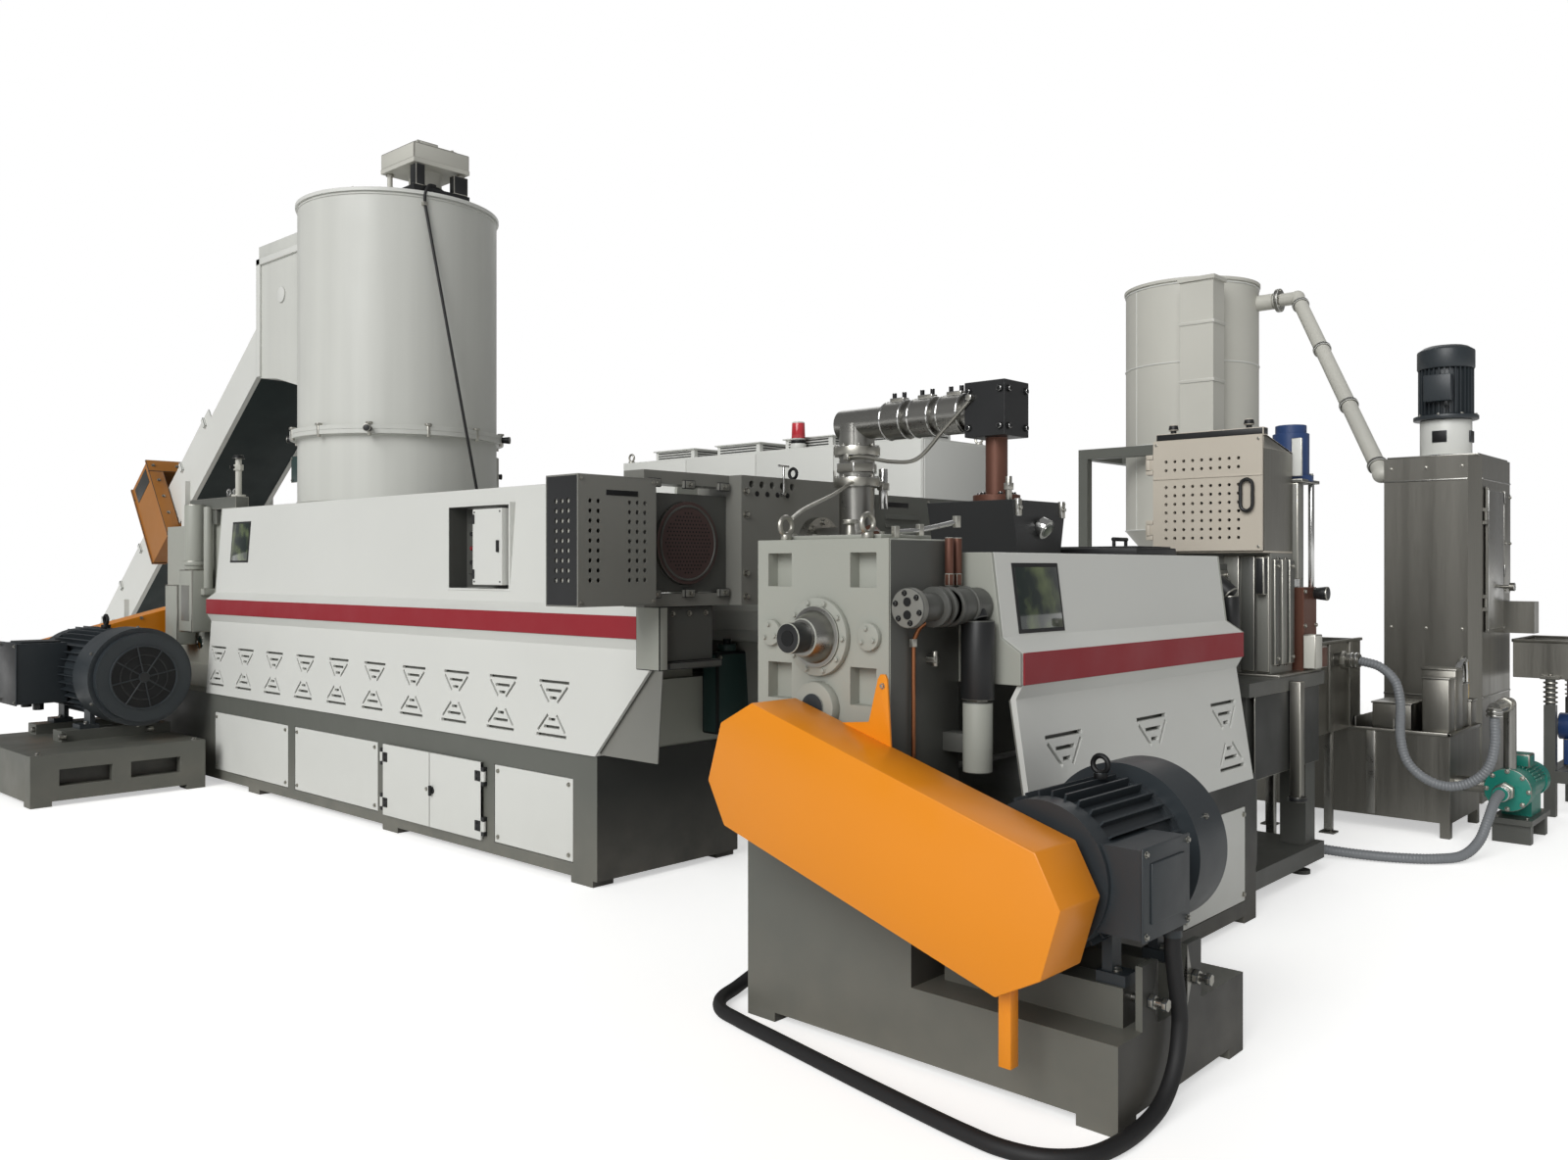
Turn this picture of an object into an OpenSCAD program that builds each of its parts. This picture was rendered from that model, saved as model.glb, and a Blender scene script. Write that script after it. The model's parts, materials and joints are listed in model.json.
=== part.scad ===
// Two-stage film recycling line: inclined feed belt, cutter compactor, first extruder with slide-plate
// screen changer, drop into the second extruder, hot-face pelletizer, water tank, dryer tower, sieve, silo.
// The datum for the layout is the crossing of the two screw axes on the floor:
// x runs along the flow of the second screw, y runs back along the first screw, z is up.

/* [Frames] */
// Height of the extruder frames above the floor
frame_h = 600; // [560:10:660]
// Height of the foot pads under the frames
foot_h = 30; // [20:5:50]
// Wall of the welded frame boxes
frame_wall = 50; // [40:5:60]
// Radius of the anchor bolt holes
anchor_r = 11; // [8:1:14]
// Thickness of the cover panels
cover_t = 20; // [12:1:25]
// Thickness of the white panels in the frames
panel_t = 12; // [8:1:16]

/* [First extruder] */
// Width of the first frame
stage1_w = 900; // [880:10:960]
// Distance from the second screw axis to the near end of the first frame
stage1_near = 1855; // [1840:5:1950]
// Width of the near bay
bay_near_w = 590; // [500:10:700]
// Width of the bay with the double door
bay_door_w = 910; // [800:10:1000]
// Width of the middle bay
bay_mid_w = 955; // [850:5:1050]
// Width of the far bay
bay_far_w = 1030; // [950:10:1100]
// Height of the solid band under the bays
bay_sill = 80; // [60:5:100]
// Height of the solid band above the bays
bay_head = 140; // [120:5:160]
// Width of the posts between the bays
post_w = 130; // [120:5:150]
// Length of the bed under the first gearbox
gear_bed = 1100; // [1000:10:1200]
// Height of the first screw axis
axis1_z = 1550; // [1530:5:1580]
// Height of the top of the first covers
cover1_top = 1860; // [1840:5:1900]
// Overhang of the covers beyond the near end of the frame
overhang = 420; // [380:10:460]
// Radius of the first barrel with its heaters
barrel1_r = 130; // [110:5:150]

/* [Screen changer] */
// Distance from the second screw axis to the face of the first screen changer
changer_near = 990; // [980:5:1020]
// Depth of the screen changer body along the screw
changer_d = 260; // [240:5:280]
// Width of the screen changer body
changer_w = 850; // [800:10:900]
// Height of the screen changer body
changer_h = 530; // [500:10:560]
// Height of the slide plate
slide_h = 390; // [370:5:410]
// Thickness of the slide plate
slide_t = 80; // [70:5:100]
// Radius of the breaker disc
breaker_r = 165; // [140:5:180]
// Length of the window where the disc is changed
window_w = 460; // [420:10:500]
// Length of the left perforated guard
left_guard_w = 370; // [320:10:420]
// Length of the right guard
right_guard_w = 910; // [800:10:1000]

/* [Second extruder] */
// Half width of the second frame
stage2_half = 510; // [490:5:530]
// Distance from the first screw axis to the drive end of the second frame
stage2_drive = 710; // [700:5:740]
// Distance from the first screw axis to the outlet end of the second frame
stage2_out = 1120; // [1090:5:1150]
// Height of the second screw axis
axis2_z = 1221; // [1210:1:1240]
// Height of the top of the second covers
cover2_top = 1500; // [1490:5:1510]
// Depth of the second gearbox along the screw
gearbox_d = 360; // [320:5:380]
// Width of the second gearbox
gearbox_w = 450; // [420:5:480]
// Height of the second gearbox
gearbox_h = 940; // [920:5:1000]
// Height of the belt drive shaft of the second gearbox
input_z = 830; // [815:5:850]
// Distance of the second motor from the second screw axis
motor2_off = 806; // [806:2:830]
// Height of the second motor shaft
motor2_z = 635; // [620:5:650]
// Radius of the second motor over its fins
motor2_r = 215; // [200:5:218]
// Length of the second motor
motor2_len = 660; // [640:10:700]
// Depth of the belt guards
guard_d = 200; // [160:5:220]
// Half height of the belt guards
guard_r = 200; // [190:5:215]

/* [Compactor] */
// Radius of the compactor drum
drum_r = 680; // [640:5:700]
// Distance of the drum axis from the first screw axis
drum_x = 650; // [630:5:680]
// Distance of the drum axis from the second screw axis
drum_y = 5470; // [5440:5:5500]
// Wall of the drum
drum_wall = 20; // [10:1:30]
// Height of the flange between bowl and drum
flange_z = 2370; // [2340:5:2400]
// Height of the drum rim
drum_top = 3950; // [3850:10:4050]

/* [Feed belt] */
// Length of the belt between its pulleys
belt_len = 4300; // [4000:20:4600]
// Slope of the belt in degrees
belt_slope = 36.4; // [35:0.2:38]
// Width of the belt
belt_w = 520; // [460:10:560]
// Thickness of the belt
belt_t = 8; // [5:1:12]
// Radius of the belt pulleys
pulley_r = 70; // [60:2:80]

/* [Pelletizer and water] */
// Length of the water tank along the second screw
tank_l = 610; // [550:10:620]
// Width of the water tank
tank_w = 1200; // [1000:10:1300]
// Depth of the water tank
tank_h = 480; // [440:10:520]
// Wall of the water tank
tank_wall = 8; // [4:1:12]
// Height of the dryer tower
tower_h = 2000; // [1900:10:2100]
// Length of the vibrating sieve
sieve_l = 1440; // [1300:10:1600]
// Width of the vibrating sieve
sieve_w = 550; // [450:10:600]

/* [Silo and cabinet] */
// Radius of the pellet silo
silo_r = 515; // [480:5:540]
// Height of the silo rim
silo_top = 3690; // [3550:10:3800]
// Wall of the silo
silo_wall = 10; // [5:1:15]
// Radius of the silo outlet bore
outlet_r = 92; // [80:2:110]
// Height of the control cabinet
cabinet_h = 2170; // [2000:10:2250]
// Length of the control cabinet
cabinet_l = 2530; // [2300:10:2700]

/* [Hidden] */
$fn = 96;
// Play between a piece and the seat that it drops into
seat = 3;
// Play around parts that turn on pins
pin_gap = 0.3;
// Clear distance of the doors from the face behind them
door_gap = 8;
// Thickness of the door leaves
leaf_t = 12;
// Width by which panels and doors lap over their openings
lap = 20;
// Thickness of the painted stripe bands
band_t = 6;
// Thickness of the end plates of the covers
plate_t = 15;
// Colours
white = [0.84, 0.85, 0.82];
grey = [0.49, 0.50, 0.47];
pale = [0.63, 0.64, 0.60];
dark = [0.25, 0.26, 0.26];
slate = [0.20, 0.23, 0.24];
orange = [0.91, 0.58, 0.15];
red = [0.65, 0.12, 0.18];
steel = [0.60, 0.58, 0.54];
beige = [0.78, 0.75, 0.70];
blue = [0.15, 0.23, 0.37];
teal = [0.11, 0.49, 0.43];
black = [0.08, 0.08, 0.08];

// Bays of the first frame
end_post = post_w + 65;
bay_w = [bay_near_w, bay_door_w, bay_mid_w, bay_far_w];
bay_y = [
  stage1_near + end_post,
  stage1_near + end_post + bay_near_w + post_w,
  stage1_near + end_post + bay_near_w + bay_door_w + 2 * post_w,
  stage1_near + end_post + bay_near_w + bay_door_w + bay_mid_w + 3 * post_w
];
bay_z = foot_h + bay_sill;
bay_h = frame_h - bay_head - bay_z;
covers_end = bay_y[3] + bay_far_w + post_w;
frame1_end = covers_end + gear_bed;
half1 = stage1_w / 2;

// Section of the first covers: half widths and heights
c1_bottom = half1 + 15;
c1_fold = half1 - 20;
c1_band = half1 + 10;
c1_shoulder = half1 - 50;
c1_top = half1 - 95;
c1_band_z = axis1_z - 410;
c1_fold_z = c1_band_z - 50;
c1_band_h = 100;
c1_shoulder_z = c1_band_z + c1_band_h + 45;
cover1_near = stage1_near - overhang;

// Section of the second covers
c2_bottom = stage2_half + 45;
c2_fold = stage2_half - 25;
c2_band = stage2_half;
c2_shoulder = stage2_half - 70;
c2_top = stage2_half - 105;
barrel2_r = 110;
c2_band_z = axis2_z - barrel2_r - 21;
c2_fold_z = c2_band_z - 45;
c2_band_h = 100;
c2_shoulder_z = c2_band_z + c2_band_h + 45;
cover2_from = -stage2_drive + plate_t;
cover2_to = stage2_out - 140;
panel2_x0 = stage2_out - 700;
panel2_x1 = stage2_out - 110;

// Screen changer
changer_x0 = -changer_w / 2 + 25;
changer_x1 = changer_w / 2 + 25;
changer_y1 = changer_near + changer_d;
changer_z0 = axis1_z - changer_h / 2 + 15;
changer_z1 = changer_z0 + changer_h;
slide_y = changer_near + changer_d / 2;
guard_x0 = changer_x0 - window_w;

// First drive
motor1_x = -900;
motor1_z = 740;
motor1_r = 300;
motor1_len = 1250;
base1_h = 316;
base1_w = 1030;
base1_x = motor1_x - 185;
base1_y0 = covers_end - 250;
base1_y1 = frame1_end - 50;
guard1_y = frame1_end + 100;
motor1_y = guard1_y - 50;
input1_z = 970;
rail1_h = 70;
foot1 = [0.14, 0.55];
cowl1 = 0.74;

// Second drive
gearbox_x0 = -stage2_drive - gearbox_d;
pedestal_x = gearbox_x0 - 20;
guard2_x1 = gearbox_x0 - 60;
guard2_x0 = guard2_x1 - guard_d;
motor2_x = guard2_x1 + 35;
base2_h = 235;
base2_x1 = -300;
base2_y0 = -motor2_off - 225;
lobe_off = 785;
lobe_z = motor2_z - 45;
foot2 = [0.21, 0.62];
cowl2 = 0.68;
base2_y1 = -380;

// Compactor and hood
bowl_z = cover1_top + 20;
hood_half = 350;
hood_end = drum_y + drum_r + 810;
hood_top = drum_top - 100;
hood_t = 12;
hood_mouth = 920;
hood_lip = 330;
hood_drop = 1250;
deck_x0 = half1 + 30;
deck_x1 = drum_x + 650;
deck_y0 = drum_y - drum_r;
deck_y1 = drum_y + drum_r + 700;

// Feed belt
head_y = hood_end - 140;
head_z = hood_top - 550;
channel_up = 140;
channel_down = 170;
channel_over = 110;
board_up = 230;
board_over = 60;
channel_in = belt_w / 2 + 40;
channel_out = hood_half - hood_t;
board_from = 1200;
tail_y = head_y + belt_len * cos(belt_slope);
tail_z = head_z - belt_len * sin(belt_slope);

// Pelletizer
stand_x0 = stage2_out + 80;
stand_x1 = stand_x0 + 900;
stand_y0 = -450;
stand_y1 = 400;
table_z = 960;
changer2_x0 = stand_x0 + 10;
changer2_x1 = changer2_x0 + 290;
die_x1 = changer2_x1 + 120;
cutter_x1 = die_x1 + 260;
cage_x0 = die_x1 - 80;
cage_x1 = cutter_x1;
cage_y0 = -380;
cage_y1 = 140;
cage_z0 = cover2_top + 20;
cage_z1 = cage_z0 + 530;
drive_x = cutter_x1 + 120;
drive_y = -330;

// Tank, tower, sieve
tank_x = 3270;
tank_y = -700;
tank_z = 80;
trough_z = tank_z + tank_h;
trough_top = trough_z + 490;
tower_x0 = tank_x + tank_l;
tower_x1 = tower_x0 + 720;
tower_y0 = -700;
tower_y1 = -190;
tower_z0 = 100;
tower_top = tower_z0 + tower_h;
chamfer = 60;
tower_wall = 12;
basket_r = 140;
sieve_z = 800;
sieve_h = 220;
door_x0 = tower_x0 + chamfer + 60;
door_x1 = door_x0 + 330;
door_z0 = sieve_z + sieve_h + 80;
door_z1 = tower_top - 200;
sieve_x0 = tower_x0 + 510;
sieve_y1 = tower_y0 - 60;
sieve_y0 = sieve_y1 - sieve_l;
pump_x = 3440;
pump_y = -960;
pump_z = 290;

// Silo, cabinet
silo_x = 5660;
silo_y = 1810;
post_half = 620;
post_t = 80;
cone_z = 1750;
spout_z = 1250;
stand_top = 2410;
cabinet_x = 1500;
cabinet_y = 1470;
cabinet_d = 650;

// The origin is the middle of the whole line on the floor
left_x = base1_x - base1_w / 2;
right_x = silo_x + post_half + post_t / 2;
front_y = sieve_y0;
back_y = head_y + (belt_len + board_over) * cos(belt_slope) + board_up * sin(belt_slope);
mid_x = (left_x + right_x) / 2;
mid_y = (front_y + back_y) / 2;

// Routes of the free cable and hoses
cable_d = 44;
gland_off = 240;
hose_d = 50;
gland_x = motor2_x + gland_off;
gland_y = -motor2_off - motor2_r - 45;
gland_z = motor2_z - 163;
bend_x = gland_x + 45;
floor_z = cable_d / 2 + 2;
cable_end_y = 420;
cable_route = [
  [gland_x, gland_y, gland_z],
  [gland_x + 2, gland_y, gland_z - 40],
  [gland_x + 22, gland_y, gland_z - 125],
  [bend_x - 2, gland_y, gland_z - 210],
  [bend_x, gland_y, floor_z + 200],
  [bend_x - 27, gland_y, floor_z + 100],
  [bend_x - 100, gland_y, floor_z + 27],
  [bend_x - 200, gland_y, floor_z],
  [bend_x - 360, gland_y, floor_z],
  [bend_x - 460, gland_y + 27, floor_z],
  [bend_x - 533, gland_y + 100, floor_z],
  [bend_x - 560, gland_y + 200, floor_z],
  [guard2_x0 - 35, -760, floor_z],
  [guard2_x0 + 20, -400, floor_z],
  [guard2_x0 + 90, 0, floor_z],
  [guard2_x0 + 130, 220, floor_z],
  [guard2_x0 + 157, cable_end_y - 100, floor_z],
  [guard2_x0 + 230, cable_end_y - 27, floor_z],
  [guard2_x0 + 330, cable_end_y, floor_z + 6],
  [-stage2_drive - 190, cable_end_y, 60],
  [-stage2_drive - 110, cable_end_y, 92],
  [-stage2_drive - 20, cable_end_y, 100]
];
hose_x = 3000;
hose_z = trough_top - 98;
upper_route = [
  [hose_x, -330, hose_z],
  [hose_x, -430, hose_z - 27],
  [hose_x, -505, hose_z - 100],
  [hose_x, -530, hose_z - 200],
  [hose_x + 10, -530, hose_z - 400],
  [hose_x + 20, -560, hose_z - 520],
  [hose_x + 30, -640, hose_z - 600],
  [hose_x + 35, -745, hose_z - 630],
  [hose_x + 40, -850, hose_z - 600],
  [hose_x + 45, -930, hose_z - 520],
  [hose_x + 50, -960, hose_z - 400],
  [hose_x + 50, -960, hose_z - 252]
];
lower_route = [
  [hose_x + 160, -960, pump_z],
  [hose_x + 60, -960, pump_z - 18],
  [hose_x - 50, -955, pump_z - 95],
  [hose_x - 150, -935, 95],
  [hose_x - 260, -890, 38],
  [hose_x - 380, -800, 28],
  [hose_x - 480, -660, 28],
  [hose_x - 550, -500, 32],
  [hose_x - 630, -360, 48],
  [hose_x - 730, -260, 76],
  [stand_x1 + 80, -218, 97],
  [stand_x1, -210, 100]
];

// Everything is laid out from the datum and then shifted so that the origin is in the middle
module placed() {
  translate([-mid_x, -mid_y, 0])
    children();
}

// Box between two corners
module box(x0, x1, y0, y1, z0, z1) {
  translate([x0, y0, z0])
    cube([x1 - x0, y1 - y0, z1 - z0]);
}

// Round bars along each axis
module bar_x(x0, x1, y, z, r) {
  translate([x0, y, z])
    rotate([0, 90, 0])
      cylinder(h = x1 - x0, r = r);
}

module bar_y(y0, y1, x, z, r) {
  translate([x, y0, z])
    rotate([-90, 0, 0])
      cylinder(h = y1 - y0, r = r);
}

module bar_z(z0, z1, x, y, r) {
  translate([x, y, z0])
    cylinder(h = z1 - z0, r = r);
}

// Outline drawn in x and z, drawn out along y
module along_y(y0, y1) {
  translate([0, y1, 0])
    rotate([90, 0, 0])
      linear_extrude(y1 - y0)
        children();
}

// Outline drawn in y and z, drawn out along x
module along_x(x0, x1) {
  translate([x0, 0, 0])
    rotate([90, 0, 90])
      linear_extrude(x1 - x0)
        children();
}

// Lower cover sheet of one side, with a foot that lies on the frame
module lower_section(bottom, fold, band, z0, z1, z2, seat_half) {
  polygon([
    [seat_half - 40, z0], [bottom, z0], [fold, z1], [band, z2], [band - cover_t, z2],
    [fold - cover_t, z1], [bottom - cover_t, z0 + 14], [seat_half - 40, z0 + 14]
  ]);
}

// Upper cover sheet over both sides and the top
module upper_section(band, shoulder, top, z0, z1, z2, z3) {
  polygon([
    [-band, z0], [-band, z1], [-shoulder, z2], [-top, z3], [top, z3], [shoulder, z2], [band, z1],
    [band, z0], [band - cover_t, z0], [band - cover_t, z1 - 5], [shoulder - cover_t, z2 - 5],
    [top - cover_t, z3 - cover_t], [cover_t - top, z3 - cover_t], [cover_t - shoulder, z2 - 5],
    [cover_t - band, z1 - 5], [cover_t - band, z0]
  ]);
}

// Outer outline of an upper cover, for its end plates
module upper_outline(band, shoulder, top, z0, z1, z2, z3) {
  polygon([
    [-band, z0], [-band, z1], [-shoulder, z2], [-top, z3], [top, z3], [shoulder, z2], [band, z1], [band, z0]
  ]);
}

// Slots of one hourglass vent
module vent_slots(w, h, slot) {
  for (s = [-1, 1]) {
    translate([0, s * h / 2])
      square([w, slot], center = true);
    translate([0, s * h * 0.34])
      square([w * 0.52, slot], center = true);
    translate([0, s * h * 0.2])
      square([w * 0.22, slot], center = true);
    for (k = [-1, 1])
      translate([k * w * 0.3, s * h * 0.27])
        rotate(s * k * 47)
          square([h * 0.42, slot], center = true);
  }
}

vent_w = 230;
vent_h = 250;
vent_slot = 13;
vent1_z = frame_h + 190;
vent1_n = 10;
vent1_first = stage1_near + 330;
vent1_step = (covers_end - 150 - vent1_first) / (vent1_n - 1);
vent2_z = frame_h + 190;
vent2_n = 3;
vent2_first = cover2_from + 255;
vent2_step = (cover2_to - 180 - vent2_first) / (vent2_n - 1);

// First frame: a welded box, open below, with four bays on each long side
module bay_cut(side, i) {
  hinged = side < 0 && i == 1;
  x_face = side * half1;
  if (!hinged)
    box(min(x_face, x_face - side * panel_t), max(x_face, x_face - side * panel_t),
      bay_y[i] - lap, bay_y[i] + bay_w[i] + lap, bay_z - lap, bay_z + bay_h + lap);
  box(min(x_face + side, x_face - side * (frame_wall + 1)), max(x_face + side, x_face - side * (frame_wall + 1)),
    bay_y[i], bay_y[i] + bay_w[i], bay_z, bay_z + bay_h);
}

foot_x = half1 - 60;
foot_y0 = stage1_near + 110;
foot_y1 = frame1_end - 110;
support_y = stage1_near + 45;
anchor_x = half1 - frame_wall - 35;

module first_frame() {
  color(grey)
    placed()
      difference() {
        union() {
          box(-half1, half1, stage1_near, frame1_end, foot_h, frame_h);
          for (s = [-1, 1])
            for (k = [0:3])
              translate([s * foot_x - 60, foot_y0 + k * (foot_y1 - foot_y0) / 3 - 80, 0])
                cube([120, 160, foot_h]);
          // Upright that carries the outlet end of the barrel
          box(-half1 + 60, half1 - 90, support_y - 40, support_y + 160, frame_h, frame_h + 320);
          box(-180, 180, support_y, support_y + 80, frame_h + 320, axis1_z + 60);
        }
        bar_y(support_y - 100, support_y + 200, 0, axis1_z, barrel1_r + 25 + pin_gap);
        box(-half1 + frame_wall, half1 - frame_wall, stage1_near + frame_wall, frame1_end - frame_wall,
          foot_h, frame_h - 40);
        for (s = [-1, 1])
          for (i = [0:3])
            bay_cut(s, i);
        for (s = [-1, 1])
          for (y = [foot_y0, foot_y1])
            bar_z(-1, foot_h + 1, s * anchor_x, y, anchor_r);
      }
}

// White panels in the bays of both frames
module frame_panels() {
  color(white)
    placed()
      for (s = [-1, 1]) {
        for (i = [0:3])
          if (s > 0 || i != 1)
            box(min(s * half1, s * (half1 - panel_t)), max(s * half1, s * (half1 - panel_t)),
              bay_y[i] - lap + seat, bay_y[i] + bay_w[i] + lap - seat,
              bay_z - lap + seat, bay_z + bay_h + lap - seat);
        box(panel2_x0 + seat, panel2_x1 - seat, min(s * stage2_half, s * (stage2_half - panel_t)),
          max(s * stage2_half, s * (stage2_half - panel_t)), bay_z - lap + seat, bay_z + bay_h + lap - seat);
      }
}

// Double door: the leaves hang on pins at the outer edges of the second bay
leaf_x1 = -half1 - door_gap;
leaf_x0 = leaf_x1 - leaf_t;
hinge_x = leaf_x0 + leaf_t / 2;
hinge_off = 18;
pin_r = 6;
knuckle_r = 12;
knuckle_h = 50;
door_y0 = bay_y[1] - lap;
door_y1 = bay_y[1] + bay_w[1] + lap;
door_mid = (door_y0 + door_y1) / 2;
hinge_y0 = door_y0 - hinge_off;
hinge_y1 = door_y1 + hinge_off;
hinge_z = [bay_z + 50, bay_z + bay_h - 50];

module leaf(y0, y1, hy) {
  difference() {
    union() {
      box(leaf_x0, leaf_x1, y0, y1, bay_z - lap, bay_z + bay_h + lap);
      for (z = hinge_z) {
        bar_z(z - knuckle_h / 2, z + knuckle_h / 2, hinge_x, hy, knuckle_r);
        box(leaf_x0 + 1, leaf_x1 - 1, min(hy, y0), max(hy, y1 - 40), z - knuckle_h / 2, z + knuckle_h / 2);
      }
    }
    for (z = hinge_z)
      bar_z(z - knuckle_h, z + knuckle_h, hinge_x, hy, pin_r + pin_gap);
  }
}

module service_door_right() {
  color(white)
    placed()
      leaf(door_y0, door_mid - 4, hinge_y0);
}

module service_door_left() {
  color(white)
    placed()
      mirror_y(door_mid)
        leaf(door_y0, door_mid - 4, hinge_y0);
}

module mirror_y(y) {
  translate([0, 2 * y, 0])
    mirror([0, 1, 0])
      children();
}

module door_hinges() {
  color(black)
    placed()
      for (y = [hinge_y0, hinge_y1])
        for (z = hinge_z) {
          bar_z(z - knuckle_h / 2 - 22, z + knuckle_h / 2 + 22, hinge_x, y, pin_r);
          for (s = [-1, 1])
            box(hinge_x - 8, -half1, y - 10, y + 10,
              z + s * (knuckle_h / 2 + 12) - 10, z + s * (knuckle_h / 2 + 12) + 10);
        }
}

// First covers
module first_lower_covers() {
  color(white)
    placed()
      for (s = [0, 1])
        mirror([s, 0, 0])
          difference() {
            intersection() {
              along_y(cover1_near, covers_end)
                lower_section(c1_bottom, c1_fold, c1_band, frame_h, c1_fold_z, c1_band_z, half1);
              along_x(0, half1 + 100)
                polygon([
                  [stage1_near, frame_h], [cover1_near, c1_band_z - 40], [cover1_near, c1_band_z],
                  [covers_end, c1_band_z], [covers_end, frame_h]
                ]);
            }
            along_x(half1 - 80, half1 + 80)
              for (i = [0:vent1_n - 1])
                translate([vent1_first + i * vent1_step, vent1_z])
                  vent_slots(vent_w, vent_h, vent_slot);
          }
}

niche_y0 = bay_y[1] - 160;
niche_w = 560;
niche_z0 = cover1_top - 524;
niche_h = 444;
niche_d = 130;
window1_y = covers_end - 450;
window_t = 6;

module first_upper_cover() {
  color(white)
    placed()
      difference() {
        along_y(cover1_near, covers_end)
          upper_section(c1_band, c1_shoulder, c1_top, c1_band_z, c1_band_z + c1_band_h, c1_shoulder_z, cover1_top);
        box(-half1 - 50, -c1_top + 60, niche_y0, niche_y0 + niche_w, niche_z0, niche_z0 + niche_h);
      }
}

// Recess for the hand controls: a pan set in the cover with a closed box in its near half
module control_niche() {
  color(white)
    placed() {
      difference() {
        box(-c1_shoulder + 5, -c1_shoulder + niche_d, niche_y0, niche_y0 + niche_w, niche_z0, niche_z0 + niche_h);
        box(-c1_shoulder, -c1_shoulder + niche_d - 12, niche_y0 + 12, niche_y0 + niche_w - 12,
          niche_z0 + 12, niche_z0 + niche_h - 12);
      }
      box(-c1_shoulder - 25, -c1_shoulder + niche_d - 12, niche_y0 + 24, niche_y0 + niche_w * 0.5,
        niche_z0 + 30, niche_z0 + niche_h - 30);
    }
}

module stripe_bands() {
  color(red)
    placed()
      for (s = [0, 1]) {
        mirror([s, 0, 0])
          box(c1_band, c1_band + band_t, cover1_near, covers_end, c1_band_z, c1_band_z + c1_band_h);
        mirror([0, s, 0])
          box(cover2_from, cover2_to, c2_band, c2_band + band_t, c2_band_z, c2_band_z + c2_band_h);
      }
}

// End plates of both extruder covers
module cover_end_plates() {
  color(pale)
    placed() {
      difference() {
        along_y(cover1_near - plate_t, cover1_near)
          upper_outline(c1_band, c1_shoulder, c1_top, c1_band_z, c1_band_z + c1_band_h, c1_shoulder_z, cover1_top);
        box(-c1_top + 60, c1_top - 60, cover1_near - plate_t - 1, cover1_near + 1, c1_band_z - 1, cover1_top - 90);
      }
      along_y(covers_end, covers_end + plate_t)
        upper_outline(c1_band, c1_shoulder, c1_top, c1_band_z, c1_band_z + c1_band_h, c1_shoulder_z, cover1_top);
      along_x(-stage2_drive, cover2_from)
        upper_outline(c2_band, c2_shoulder, c2_top, c2_band_z, c2_band_z + c2_band_h, c2_shoulder_z, cover2_top);
      difference() {
        along_x(cover2_to, cover2_to + plate_t)
          upper_outline(c2_band, c2_shoulder, c2_top, c2_band_z, c2_band_z + c2_band_h, c2_shoulder_z, cover2_top);
        bar_x(cover2_to - 1, cover2_to + plate_t + 1, 0, axis2_z, barrel2_r + pin_gap);
      }
    }
}

// Heated barrels of both extruders, with their outlet flanges
module barrels() {
  color(dark)
    placed() {
      bar_y(changer_y1, covers_end, 0, axis1_z, barrel1_r);
      bar_y(changer_y1, changer_y1 + 80, 0, axis1_z, barrel1_r + 80);
      for (k = [0:5])
        bar_y(cover1_near + 300 + k * 420, cover1_near + 560 + k * 420, 0, axis1_z, barrel1_r + 25);
      bar_x(cover2_from, changer2_x0, 0, axis2_z, barrel2_r);
      bar_x(changer2_x0 - 70, changer2_x0, 0, axis2_z, barrel2_r + 80);
    }
}

// Slide-plate screen changer
module screen_changer() {
  color(pale)
    placed()
      difference() {
        union() {
          box(changer_x0, changer_x1, changer_near, changer_y1, changer_z0, changer_z1);
          for (z = [changer_z0, changer_z1 - 50])
            box(guard_x0, changer_x0, slide_y - 60, slide_y + 60, z, z + 50);
        }
        box(changer_x0 - 1, changer_x1 + 1, slide_y - slide_t / 2 - pin_gap, slide_y + slide_t / 2 + pin_gap,
          axis1_z - slide_h / 2 - pin_gap, axis1_z + slide_h / 2 + pin_gap);
        bar_y(changer_near - 1, changer_y1 + 1, melt_x, axis1_z, 60);
        for (k = [0:4])
          bar_y(changer_near - 1, changer_near + 40, changer_x0 + 60 + k * 62, changer_z1 - 35, 15);
      }
}

module slide_plate() {
  color(steel)
    placed() {
      difference() {
        box(guard_x0 - left_guard_w + 90, changer_x1 + 330, slide_y - slide_t / 2, slide_y + slide_t / 2,
          axis1_z - slide_h / 2, axis1_z + slide_h / 2);
        bar_y(slide_y - slide_t, slide_y + slide_t, melt_x, axis1_z, 60);
      }
      bar_y(slide_y - slide_t / 2 - 22, slide_y - slide_t / 2, changer_x0 - window_w / 2, axis1_z, breaker_r);
    }
}

module screen_guards() {
  color(dark)
    placed() {
      difference() {
        box(guard_x0 - left_guard_w, guard_x0, changer_near, changer_near + 190, changer_z0 + 10, changer_z1 - 40);
        box(guard_x0 - left_guard_w + 6, guard_x0 + 1, changer_near + 6, changer_near + 184,
          changer_z0 + 16, changer_z1 - 46);
      }
      difference() {
        box(changer_x1, changer_x1 + right_guard_w, changer_near + 10, changer_near + 220,
          changer_z0 + 30, changer_z1 - 40);
        box(changer_x1 - 1, changer_x1 + right_guard_w - 6, changer_near + 16, changer_near + 214,
          changer_z0 + 36, changer_z1 - 46);
      }
    }
}

// First drive
gear1_half = 300;
gear1_top = axis1_z + 210;

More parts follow.
